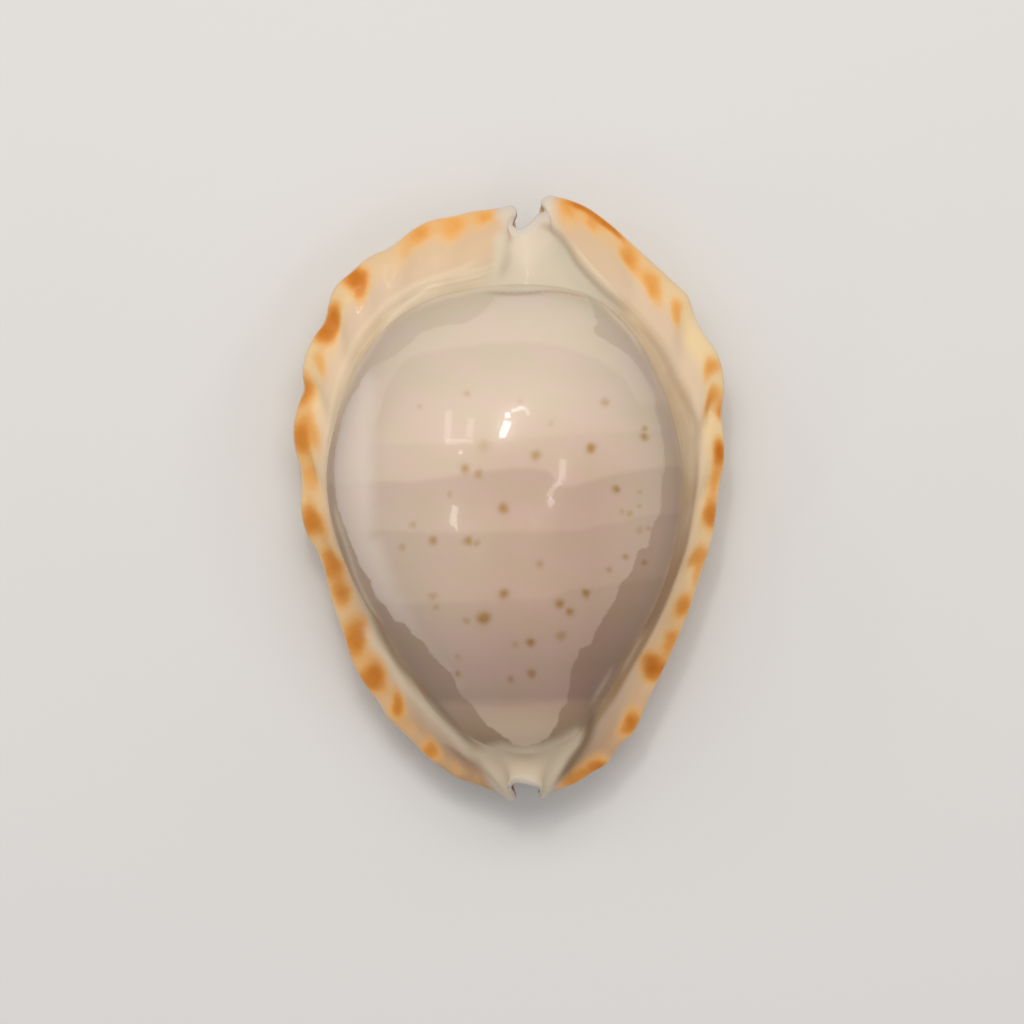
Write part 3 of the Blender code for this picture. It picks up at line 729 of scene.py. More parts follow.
@dataclass(frozen=True)
class Relief:
    """The fine relief of the grown surface: ridges beside the dome and waves across it."""

    ridges: tuple[Ridge, ...] = (
        # Outer line of the grooved band on the outer-lip side
        Ridge(((-3.0, 26.1), (-5.8, 24.9), (-8.3, 24.1), (-11.6, 22.6), (-13.6, 21.1), (-15.6, 18.9),
               (-17.1, 16.8), (-18.3, 13.9), (-19.1, 11.4), (-19.8, 7.6), (-20.1, 3.8), (-20.0, 0.2)),
              0.08, 0.30, 0.32),
        # Second line of that band
        Ridge(((-6.3, 23.5), (-8.6, 23.1), (-10.3, 21.9), (-12.3, 20.3), (-13.5, 18.8),
               (-15.3, 15.9), (-16.6, 13.9), (-17.8, 11.4), (-18.6, 8.6)), 0.06, 0.25, 0.38),
        # Line at the dome's foot, from the top of the back to the outer-lip side
        Ridge(((1.1, 22.9), (-1.4, 23.0), (-3.6, 22.8), (-5.3, 22.3), (-7.0, 22.0), (-8.6, 21.4),
               (-10.9, 20.2)), 0.05, 0.25, 0.35),
        # Crease at the posterior end of the dome
        Ridge(((-3.2, 22.5), (1.1, 22.4), (4.9, 22.6), (8.8, 21.8), (9.8, 21.4)),
              -0.05, 0.18, -0.50),
        # Upright ridge below the posterior notch, with the hollow beside it
        Ridge(((-1.1, 30.4), (-1.2, 28.4), (-1.3, 26.4), (-1.7, 24.6), (-2.6, 23.2)), 0.16, 0.8, 0.25),
        Ridge(((0.2, 27.4), (-0.4, 26.0), (-0.9, 24.6), (-1.8, 23.2)), -0.08, 0.5, -0.30),
        # Furrow down the columellar side of the posterior saddle, with a thin ridge outside it
        Ridge(((2.6, 30.0), (4.3, 29.6), (5.4, 28.8), (6.4, 27.5), (7.5, 25.7), (8.9, 24.1),
               (10.4, 22.6), (12.0, 21.2), (13.6, 19.6)), -0.15, 0.42, -0.50),
        Ridge(((6.4, 28.6), (7.4, 27.1), (8.4, 25.9), (9.8, 24.3), (11.3, 22.7), (12.8, 21.2)),
              0.08, 0.22, 0.35),
        # Dome's foot on the columellar side, near the posterior end
        Ridge(((9.6, 21.8), (11.1, 20.1), (12.6, 18.6), (14.0, 16.7), (14.7, 15.2)), 0.06, 0.24, 0.45),
        # Outer line of the grooved band on the columellar side
        Ridge(((13.3, 19.8), (15.0, 17.9), (16.9, 15.3), (18.1, 12.6), (19.4, 10.1), (20.4, 8.5),
               (20.6, 5.8), (20.4, 2.5), (20.1, -0.8), (19.4, -4.2), (18.3, -7.5), (16.9, -10.8),
               (15.3, -13.3), (14.0, -15.6)), -0.08, 0.4, -0.28),
        # Two thin pale lines low on the columellar side
        Ridge(((15.3, -13.7), (14.0, -15.5), (12.8, -17.6), (11.8, -19.6)), 0.06, 0.22, 0.25),
        Ridge(((11.6, -17.5), (10.5, -19.5), (9.7, -20.8), (8.7, -22.8), (8.2, -23.9)),
              0.08, 0.25, 0.25),
        # Broad pale swelling low on the outer-lip side, and the olive furrow beside it
        Ridge(((-16.1, -12.9), (-14.6, -15.4), (-13.1, -17.2), (-11.6, -19.8), (-9.9, -21.6),
               (-7.8, -23.9), (-6.2, -25.4), (-4.3, -27.4), (-2.8, -28.6)), 0.22, 0.75, 0.62),
        Ridge(((-15.1, -11.8), (-13.4, -15.3), (-11.9, -17.8), (-9.9, -20.1), (-7.8, -22.5),
               (-5.8, -24.7), (-4.1, -26.4), (-2.4, -27.5)), -0.14, 0.36, -0.66),
        # Thin pale line at the dome's foot on the outer-lip side
        Ridge(((-19.3, 0.2), (-18.6, -2.5), (-17.6, -5.5), (-16.3, -9.2), (-15.0, -11.7),
               (-13.3, -14.4)), 0.06, 0.22, 0.40),
        # Hollows and the two bracing ridges at the anterior notch; the last hollow is darkened mostly as
        # a painted shadow band beside the columellar ridge
        Ridge(((-7.8, -26.3), (-6.4, -27.2), (-4.9, -28.4), (-3.2, -29.6)), -0.12, 0.38, -0.60),
        Ridge(((-3.4, -27.6), (-2.1, -29.2), (-1.0, -30.7), (-0.2, -31.9), (0.3, -33.4)),
              0.18, 0.6, 0.3),
        Ridge(((8.3, -25.0), (7.5, -26.4), (6.0, -27.8), (5.2, -29.6), (4.4, -31.3), (3.8, -33.2)),
              0.20, 0.6, 0.3),
        Ridge(((9.3, -21.0), (8.9, -23.6), (8.6, -25.6), (8.0, -26.9), (7.2, -28.1), (6.2, -29.7),
               (4.7, -31.9)), -0.12, 0.62, -1.0),
    )

    # Length over which each ridge tapers off, and how far before the rim it fades, in loops
    ridge_taper: float = 1.5
    ridge_end: float = 0.6

    # Growth steps across the back, each a little lower on its anterior side, and weak waves.
    # Both fade out between two distances before the dome's foot, in loops.
    steps: tuple[Places, ...] = (
        ((-17.9, 5.9), (-15.6, 6.0), (-9.7, 6.1), (-3.3, 6.1), (1.1, 6.7), (8.0, 7.2), (17.0, 7.6)),
        ((-18.6, 1.7), (-15.8, 2.0), (-10.5, 2.0), (-6.1, 2.6), (-1.0, 3.3), (2.2, 3.5), (4.2, 3.2),
         (5.6, 1.5), (6.8, 1.5), (9.0, 2.1), (12.2, 3.0), (16.8, 3.6)),
        ((-17.9, -3.5), (-14.1, -3.3), (-6.0, -3.6), (1.1, -3.4), (7.2, -3.3), (12.2, -2.3),
         (15.6, -1.5)),
        ((-15.0, -11.1), (-10.3, -11.3), (-5.4, -11.0), (-1.0, -10.9), (4.0, -10.8), (5.6, -10.2),
         (6.6, -9.7), (8.6, -9.6), (11.6, -9.1), (16.0, -8.4)),
        ((-5.6, -22.0), (-4.3, -22.2), (-1.0, -22.6), (2.2, -22.3), (6.0, -21.7)),
        ((-14.4, 8.5), (-13.5, 12.0), (-12.4, 13.9), (-11.1, 15.3), (-9.3, 16.0), (-7.2, 16.3),
         (-3.0, 17.0), (1.1, 17.2), (5.5, 16.8), (9.5, 15.4), (12.5, 13.2), (14.0, 10.5)),
    )
    step_height: float = 0.002
    step_width: float = 1.2
    ripple_height: float = 0.001
    ripple_length: float = 4.6
    ripple_bend: float = 9.0
    dome_fade: Range = (2.5, 0.2)

    def step_offsets(self, plan: np.ndarray) -> list[np.ndarray]:
        """Return each point's distance on the posterior side of each growth step."""
        offsets = []
        for line in self.steps:
            x, y = np.array(line).T
            offsets.append(plan[..., 1] - np.interp(plan[..., 0], x, y))
        return offsets

    def ridge_weights(self, plan: np.ndarray, numbers: np.ndarray) -> list[np.ndarray]:
        """Return each ridge's weight at each point of the upper side, from 0 to 1."""
        upper = 1.0 - ramp(numbers, Loop.RIM_TOP.value - self.ridge_end, Loop.RIM.value)
        return [line_weight(plan, ridge.line, ridge.half_width, self.ridge_taper) * upper
                for ridge in self.ridges]

    def height(self, plan: np.ndarray, numbers: np.ndarray, weights: list[np.ndarray]) -> np.ndarray:
        """Work out how far the relief lifts the skin.

        Args:
            plan: Each point's place in plan.
            numbers: Each point's number among the guide loops.
            weights: Each ridge's weight at each point.

        Returns:
            The lift along the surface's normal at each point.
        """
        lift = sum(ridge.height * weight for ridge, weight in zip(self.ridges, weights))
        foot = Loop.FOOT.value
        dome = 1.0 - ramp(numbers, foot - self.dome_fade[0], foot - self.dome_fade[1])
        for offset in self.step_offsets(plan):
            lift += self.step_height * dome * (np.tanh(offset / self.step_width) - 1.0) / 2.0
        bend = np.sin(plan[..., 0] / self.ripple_bend)
        wave = 2.0 * np.pi * plan[..., 1] / self.ripple_length + bend
        return lift + self.ripple_height * dome * np.sin(wave)


@dataclass(frozen=True)
class Blotch:
    """A soft orange-brown mark at the flange's edge: tone 0 is yellow-orange and 1 dark brown."""

    x: float
    y: float
    across: float
    along: float
    strength: float
    tone: float


@dataclass(frozen=True)
class Markings:
    """The colour pattern, drawn in plan as it is seen from straight above."""

    # How high above the flange's level the pattern is seen from
    seen_from: float = 618.6
    flange_level: float = 7.5
    middle: tuple[float, float] = (0.3, -1.4)

    # Ragged outline of the whiter layer on the back, partly a painted reflection, beyond which the back
    # is darker, partly as painted shade; and the layer's whitest part
    veil_and_reflection: Places = (
        (-0.7, -25.7), (-2.6, -24.4), (-3.2, -23.6), (-4.2, -22.1), (-5.2, -21.5), (-5.8, -20.2),
        (-6.3, -18.9), (-7.4, -17.9), (-8.7, -16.6), (-9.4, -15.4), (-10.5, -14.7), (-11.4, -13.5),
        (-12.5, -13.2), (-13.5, -11.4), (-14.5, -10.7), (-15.1, -8.8), (-16.1, -7.5), (-16.8, -5.8),
        (-17.6, -3.7), (-18.3, -1.8), (-18.8, 0.0), (-19.0, 2.0), (-19.0, 4.2), (-18.8, 5.8),
        (-18.3, 8.2), (-17.8, 9.8), (-17.0, 11.4), (-16.3, 12.4), (-15.5, 13.9), (-14.6, 14.6),
        (-13.0, 15.3), (-11.6, 16.3), (-10.6, 17.1), (-10.0, 17.9), (-8.3, 18.6), (-6.6, 19.0),
        (-4.7, 19.1), (-3.6, 19.9), (-2.5, 20.6), (-1.8, 21.6), (-1.0, 22.8), (3.3, 23.4),
        (8.2, 22.6), (9.3, 20.3), (9.1, 19.8), (9.6, 19.3), (9.1, 18.6), (9.3, 17.9), (10.4, 17.3),
        (11.3, 16.8), (12.8, 15.8), (14.0, 14.4), (15.0, 12.9), (15.8, 11.4), (15.8, 9.8),
        (16.4, 7.8), (16.8, 5.8), (16.9, 3.5), (16.6, 2.5), (16.5, 0.8), (16.4, -1.5), (15.8, -2.2),
        (15.4, -3.2), (15.1, -5.2), (14.3, -5.3), (13.8, -6.1), (13.3, -7.7), (12.8, -8.6),
        (12.1, -9.0), (11.7, -10.2), (11.1, -11.5), (10.2, -12.9), (9.3, -14.4), (8.8, -15.7),
        (7.6, -16.3), (7.3, -17.3), (6.7, -18.4), (6.6, -19.5), (6.4, -20.8), (6.3, -21.9),
        (5.6, -22.7), (5.3, -23.9), (5.0, -24.8), (4.0, -26.0), (2.2, -26.8), (0.6, -26.7),
    )
    bright_strip: Places = (
        (-18.9, 11.4), (-17.4, 13.4), (-15.7, 14.2), (-14.7, 12.6), (-14.9, 9.3), (-15.0, 4.2),
        (-14.9, -4.2), (-14.2, -4.6), (-13.6, -6.5), (-12.4, -9.8), (-11.0, -12.0), (-9.2, -15.3),
        (-7.2, -18.0), (-5.4, -20.0), (-6.2, -20.6), (-9.8, -17.2), (-12.2, -15.0), (-14.9, -12.2),
        (-16.8, -9.4), (-18.4, -6.2), (-20.0, -1.9), (-20.6, 2.0), (-20.3, 6.2),
    )

    # Pale saddles below the two notches
    saddles: tuple[Places, ...] = (
        ((-0.4, 29.4), (-1.4, 28.2), (-1.5, 25.8), (-1.9, 24.1), (-3.2, 22.7), (1.1, 22.6),
         (5.5, 22.8), (9.8, 21.6), (12.0, 20.6), (10.4, 22.8), (8.9, 24.3), (7.4, 25.9), (6.5, 27.5),
         (5.5, 28.9), (4.9, 29.9), (4.7, 31.5), (4.7, 33.6), (3.0, 33.6), (1.0, 32.6), (-0.9, 32.4),
         (-1.2, 30.8)),
        ((-3.6, -27.6), (-2.6, -29.6), (-1.6, -31.2), (-0.3, -32.8), (0.2, -33.8), (0.9, -33.4),
         (0.8, -31.5), (3.0, -31.5), (3.4, -33.4), (4.2, -33.4), (4.7, -31.4), (5.6, -29.7),
         (6.5, -28.0), (7.6, -26.6), (7.9, -25.4), (7.2, -25.0), (5.4, -26.0), (3.6, -26.6),
         (0.8, -26.8), (-0.8, -26.6), (-2.2, -26.9)),
    )

    # Tan spots on the back: x, y, radius, strength
    spots: Places = (
        (-4.6, 11.5, 0.33, 0.35), (10.4, 10.6, 0.43, 0.45), (14.7, 7.7, 0.33, 0.60),
        (14.6, 6.8, 0.41, 0.75), (8.9, 5.6, 0.49, 0.90), (2.9, 4.8, 0.49, 0.60),
        (-4.8, 3.4, 0.49, 0.65), (-3.4, 2.8, 0.43, 0.50), (11.6, 1.1, 0.43, 0.80),
        (-0.7, -0.9, 0.54, 0.75), (-10.5, -2.7, 0.38, 0.35), (-8.3, -4.5, 0.43, 0.65),
        (-4.5, -4.5, 0.49, 0.75), (-3.6, -4.7, 0.38, 0.45), (-11.7, -5.2, 0.33, 0.40),
        (12.6, -6.3, 0.33, 0.55), (14.6, -6.8, 0.33, 0.55), (10.9, -7.6, 0.33, 0.50),
        (3.3, -7.0, 0.43, 0.40), (8.3, -10.2, 0.43, 0.85), (5.5, -11.3, 0.49, 0.80),
        (6.6, -12.2, 0.43, 0.75), (-0.6, -10.3, 0.52, 0.85), (-2.8, -12.9, 0.65, 1.00),
        (-8.4, -10.5, 0.43, 0.40), (-4.7, -13.2, 0.38, 0.40), (5.6, -14.8, 0.49, 0.50),
        (2.3, -15.5, 0.43, 0.85), (0.6, -15.8, 0.38, 0.30), (2.4, -18.9, 0.43, 0.70),
        (0.2, -19.5, 0.35, 0.50), (-5.6, -17.1, 0.33, 0.30), (-5.6, -19.0, 0.33, 0.60),
        (13.1, -1.5, 0.33, 0.40), (12.3, -1.3, 0.27, 0.35), (14.1, 0.8, 0.27, 0.30),
        (14.2, -3.3, 0.38, 0.30), (4.5, 8.3, 0.33, 0.20), (-2.8, 5.8, 0.65, 0.25),
        (-9.8, 10.1, 0.27, 0.25), (-6.5, 0.5, 0.33, 0.30), (15.1, -3.1, 0.27, 0.35),
        (14.1, -0.7, 0.24, 0.30), (-8.0, -11.7, 0.33, 0.30), (1.1, 10.6, 0.33, 0.20),
    )

    blotches: tuple[Blotch, ...] = tuple(Blotch(*row) for row in (
        (-2.7, 30.8, 0.7, 1.1, 0.55, 0.4), (-6.0, 29.7, 1.1, 1.2, 0.60, 0.3),
        (-9.7, 28.9, 0.8, 1.3, 0.65, 0.5), (-11.6, 26.9, 0.9, 0.7, 0.25, 0.3),
        (-16.5, 23.9, 1.4, 1.1, 1.00, 0.9), (-19.0, 20.1, 0.7, 1.2, 0.90, 0.8),
        (-20.0, 17.9, 0.8, 0.9, 0.90, 0.8), (-20.5, 14.7, 1.1, 1.0, 0.38, 0.0),
        (-22.2, 11.8, 0.8, 1.4, 0.85, 0.7), (-22.7, 6.9, 0.8, 1.6, 0.95, 0.7),
        (-21.3, 7.1, 1.0, 1.4, 0.45, 0.2), (-21.6, 2.7, 1.0, 1.3, 0.45, 0.3),
        (-21.4, -2.2, 1.1, 1.5, 0.90, 0.7), (-19.2, -7.0, 0.9, 1.4, 0.80, 0.8),
        (-18.1, -10.5, 0.8, 1.0, 0.75, 0.7), (-16.6, -15.2, 1.3, 1.5, 0.95, 0.7),
        (-14.7, -19.5, 1.3, 1.3, 1.00, 0.8), (-12.1, -22.3, 0.9, 0.9, 0.90, 0.7),
        (-11.1, -25.1, 0.9, 1.0, 0.22, 0.4), (-8.6, -27.2, 0.9, 0.9, 0.75, 0.7),
        (-6.1, -29.2, 0.7, 1.0, 0.24, 0.4), (-3.4, -30.5, 0.7, 1.4, 0.14, 0.3),
        (6.2, 31.6, 1.0, 1.0, 0.50, 0.3), (5.6, 30.7, 1.2, 1.0, 0.20, 0.1),
        (7.6, 31.9, 0.3, 1.2, 0.70, 1.0),
        (10.8, 29.6, 0.3, 2.0, 0.90, 1.0), (9.0, 30.2, 0.7, 1.0, 0.45, 0.4),
        (13.1, 26.0, 0.8, 1.1, 0.70, 0.5), (15.4, 23.3, 1.0, 1.1, 0.75, 0.4),
        (18.2, 20.3, 0.9, 1.0, 0.58, 0.2), (21.9, 14.3, 1.0, 0.9, 0.60, 0.4),
        (21.7, 11.1, 1.0, 0.9, 0.75, 0.4), (22.8, 9.4, 0.4, 0.8, 0.70, 0.7),
        (22.9, 5.2, 0.5, 1.1, 1.00, 1.0), (22.4, 2.4, 0.5, 1.5, 0.55, 0.5),
        (21.8, -1.5, 0.7, 1.2, 0.90, 0.8), (20.5, -6.0, 0.9, 1.0, 0.70, 0.5),
        (20.3, -8.3, 0.4, 1.0, 0.40, 0.4), (18.8, -11.6, 0.8, 1.1, 0.75, 0.7),
        (17.6, -15.5, 0.7, 1.1, 0.70, 0.7), (15.7, -18.2, 1.3, 1.1, 1.00, 0.9),
        (13.1, -24.2, 0.8, 1.3, 0.85, 0.9), (9.7, -28.9, 0.7, 1.0, 0.80, 0.9),
        (7.1, -30.3, 0.9, 1.6, 0.65, 0.9),
    ))

    # How much wider than given the blotches spread along the edge and down the columns, their
    # halo, the strength at which they are full, and their part round the edge and under it
    spread: float = 1.3
    inward: float = 1.55
    halo_share: float = 0.13
    halo_along: float = 1.6
    halo_reach: float = 3.2
    saturation: float = 1.5
    under_reach: float = 4.0
    under_share: float = 0.75

    def seen_plan(self, points: np.ndarray) -> np.ndarray:
        """Return each point's plan place as it is seen from above, at the flange's level."""
        middle = np.array(self.middle)
        nearer = self.seen_from / (self.seen_from - (points[..., 2:] - self.flange_level))
        return middle + (points[..., :2] - middle) * nearer

    def blotch_field(self, plan: np.ndarray, numbers: np.ndarray, edge_gap: np.ndarray,
                     edge_place: np.ndarray) -> tuple[np.ndarray, np.ndarray]:
        """Lay the blotches over the flange's upper side and on round its edge.

        Args:
            plan: Each point's place in plan.
            numbers: Each point's number among the guide loops.
            edge_gap: Each point's distance from the flange's edge down its column, with the upper
                side negative.
            edge_place: Each column's distance along the flange's edge.

        Returns:
            The blotches' strength from 0 to 1, and their tone.
        """
        total = edge_place[-1] + (edge_place[-1] - edge_place[-2])
        upper = (numbers > Loop.FOOT.value) & (numbers <= Loop.RIM.value)
        strength = np.zeros(numbers.shape)
        tone = np.zeros(numbers.shape)
        for blotch in self.blotches:
            away = np.hypot(plan[..., 0] - blotch.x, plan[..., 1] - blotch.y)
            gaps = np.where(upper, away, np.inf)
            ring, column = np.unravel_index(np.argmin(gaps), gaps.shape)
            off = np.abs(edge_place - edge_place[column])
            off = np.minimum(off, total - off)[None, :] / (blotch.along * self.spread)
            depth = np.abs(edge_gap - edge_gap[ring, column])
            near = np.exp(-off ** 2 - (depth / (blotch.across * self.inward)) ** 2)
            halo = -(off / self.halo_along) ** 2 - (depth / self.halo_reach) ** 2
            near += self.halo_share * np.exp(halo)
            below = self.under_share * np.exp(-off ** 2 - (edge_gap / self.under_reach) ** 2)
            weight = blotch.strength * np.where(edge_gap > 0.0, np.maximum(near, below), near)
            strength += weight
            tone += weight * blotch.tone
        return 1.0 - np.exp(-self.saturation * strength), tone / np.maximum(strength, WEIGHT_LEAST)


class Graph:
    """The nodes of one material or group, added and wired in one call each."""

    def __init__(self, tree: bpy.types.NodeTree) -> None:
        """Take the node tree to build in."""
        self.tree = tree

    def node(self, kind: str, **settings: object) -> Node:
        """Add a node.

        Args:
            kind: The node's type.
            settings: Values of the node's own properties.

        Returns:
            The node.
        """
        made = self.tree.nodes.new(kind)
        for name, value in settings.items():
            setattr(made, name, value)
        return made

    def feed(self, node: Node, values: dict[int | str, object]) -> Node:
        """Link or set a node's inputs.

        Args:
            node: The node.
            values: An output to link or a value to set, by the input's number or name.

        Returns:
            The node.
        """
        for key, value in values.items():
            if isinstance(value, Socket):
                self.tree.links.new(value, node.inputs[key])
            else:
                node.inputs[key].default_value = value
        return node

    def math(self, operation: str, *values: object) -> Socket:
        """Return the result of a Math node."""
        made = self.node("ShaderNodeMath", operation=operation)
        return self.feed(made, dict(enumerate(values))).outputs[0]

    def product(self, first: object, *others: object) -> Socket:
        """Return the product of all the values."""
        for other in others:
            first = self.math("MULTIPLY", first, other)
        return first

    def vector(self, operation: str, *values: object) -> Socket:
        """Return the result of a Vector Math node: a number for a distance, or else a vector."""
        made = self.node("ShaderNodeVectorMath", operation=operation)
        self.feed(made, dict(enumerate(values)))
        return made.outputs["Value" if operation == "DISTANCE" else "Vector"]

    def slope(self, value: object, low: float, high: float, shape: str = "LINEAR") -> Socket:
        """Return a straight rise of the value, from 0 at low to 1 at high, or a fall if low is above."""
        made = self.node("ShaderNodeMapRange", interpolation_type=shape)
        start, end = (0.0, 1.0) if low < high else (1.0, 0.0)
        return self.feed(made, {
            "Value": value, "From Min": min(low, high), "From Max": max(low, high),
            "To Min": start, "To Max": end}).outputs[0]

    def step(self, value: object, low: float, high: float) -> Socket:
        """Return a smooth rise of the value, from 0 at low to 1 at high, or a fall if low is above."""
        return self.slope(value, low, high, "SMOOTHSTEP")

    def mix(self, amount: object, first: object, second: object, blend_type: str = "MIX") -> Socket:
        """Return a mix of two colours by an amount from 0 to 1."""
        made = self.node("ShaderNodeMix", data_type="RGBA", blend_type=blend_type)
        return self.feed(made, {0: amount, MIX_FIRST: first, MIX_SECOND: second}).outputs[MIX_RESULT]

    def shade(self, amount: object, colour: object, by: object) -> Socket:
        """Return a colour multiplied by another, by an amount from 0 to 1."""
        return self.mix(amount, colour, by, "MULTIPLY")

    def ramp(self, value: object, stops: Stops) -> Socket:
        """Return the colour that a value from 0 to 1 has on a ramp with the given stops."""
        made = self.feed(self.node("ShaderNodeValToRGB"), {0: value})
        elements = made.color_ramp.elements
        for number, (position, colour) in enumerate(stops):
            element = elements[number] if number < 2 else elements.new(position)
            element.position = position
            element.color = colour
        return made.outputs[0]

    def attribute(self, name: str) -> Socket:
        """Return a vector stored on the mesh."""
        made = self.node("ShaderNodeAttribute", attribute_name=name, attribute_type="GEOMETRY")
        return made.outputs["Vector"]

    def parts(self, vector: Socket) -> list[Socket]:
        """Return a vector's three components."""
        return list(self.feed(self.node("ShaderNodeSeparateXYZ"), {0: vector}).outputs)

    def noise(self, vector: object, scale: object, detail: float) -> Socket:
        """Return a Noise texture's value, about 0.5 in the mean."""
        made = self.node("ShaderNodeTexNoise")
        return self.feed(made, {"Vector": vector, "Scale": scale, "Detail": detail}).outputs[0]

    def group(self, tree: bpy.types.NodeTree, **values: object) -> dict[str, Socket]:
        """Place a node group with its own values.

        Args:
            tree: The group.
            values: Values or links for its inputs, with _ for a space in a name.

        Returns:
            The group's outputs by name.
        """
        made = self.node("ShaderNodeGroup", node_tree=tree)
        self.feed(made, {name.replace("_", " "): value for name, value in values.items()})
        return {output.name: output for output in made.outputs}


def new_material(name: str) -> tuple[bpy.types.Material, Graph, Node]:
    """Start a material, and return it with its graph and its shader."""
    material = bpy.data.materials.new(name)
    material.use_nodes = True
    return material, Graph(material.node_tree), material.node_tree.nodes["Principled BSDF"]


@dataclass(frozen=True)
class EffectGroups:
    """Shader node groups that several places of the finishes use."""

    edge_scale: float = 1.1
    edge_detail: float = 4.0
    cloud_detail: float = 3.0
    grain_detail: float = 5.0

    # A spot's core and halo, as shares of its radius, and how strong the halo is
    spot_core: Range = (1.75, 0.0)
    spot_halo: Range = (2.6, 0.4)
    spot_halo_share: float = 0.22

    def start(self, name: str, inputs: dict[str, str], *outputs: str) -> tuple[Graph, Node, Node]:
        """Open a new group.

        Args:
            name: The group's name.
            inputs: Names and socket types of its inputs.
            outputs: Names of its outputs, which are all numbers.

        Returns:
            The graph to build in, and the group's input and output nodes.
        """
        tree = bpy.data.node_groups.new(name, "ShaderNodeTree")
        for socket, kind in inputs.items():
            tree.interface.new_socket(socket, in_out="INPUT", socket_type=kind)
        for socket in outputs:
            tree.interface.new_socket(socket, in_out="OUTPUT", socket_type=NUMBER)
        graph = Graph(tree)
        return graph, graph.node("NodeGroupInput"), graph.node("NodeGroupOutput")

    def ragged_edge(self) -> bpy.types.NodeTree:
        """Build the group that turns a distance into a mask with a soft, ragged edge."""
        inputs = {"Distance": NUMBER, "Place": VECTOR, "Raggedness": NUMBER, "Softness": NUMBER}
        graph, source, sink = self.start("ragged edge", inputs, "Mask")
        noise = graph.noise(source.outputs["Place"], self.edge_scale, self.edge_detail)
        moved = graph.math("MULTIPLY_ADD", graph.math("SUBTRACT", noise, 0.5),
                           source.outputs["Raggedness"], source.outputs["Distance"])
        scaled = graph.math("DIVIDE", moved, source.outputs["Softness"])
        graph.feed(sink, {"Mask": graph.step(scaled, -1.0, 1.0)})
        return graph.tree

    def mottle(self) -> bpy.types.NodeTree:
        """Build the group of slow and fine unevenness that every grown or laid surface has."""
        inputs = {"Place": VECTOR, "Cloud Scale": NUMBER, "Grain Scale": NUMBER}
        graph, source, sink = self.start("mottle", inputs, "Cloud", "Grain")
        for output, detail in (("Cloud", self.cloud_detail), ("Grain", self.grain_detail)):
            scale = source.outputs[f"{output} Scale"]
            graph.feed(sink, {output: graph.noise(source.outputs["Place"], scale, detail)})
        return graph.tree

    def spot(self) -> bpy.types.NodeTree:
        """Build the group that adds one round spot to the spots before it."""
        inputs = {"Place": VECTOR, "Centre": VECTOR, "Radius": NUMBER, "Strength": NUMBER,
                  "Before": NUMBER}
        graph, source, sink = self.start("spot", inputs, "Spots")
        gap = graph.vector("DISTANCE", source.outputs["Place"], source.outputs["Centre"])
        share = graph.math("DIVIDE", gap, source.outputs["Radius"])
        core = graph.product(graph.step(share, *self.spot_core), source.outputs["Strength"])
        halo = graph.product(graph.step(share, *self.spot_halo), self.spot_halo_share,
                             source.outputs["Strength"])
        graph.feed(sink, {"Spots": graph.math(
            "MAXIMUM", graph.math("ADD", core, halo), source.outputs["Before"])})
        return graph.tree

    def build(self) -> Groups:
        """Build every group, and return them by name."""
        return {"ragged edge": self.ragged_edge(), "mottle": self.mottle(), "spot": self.spot()}


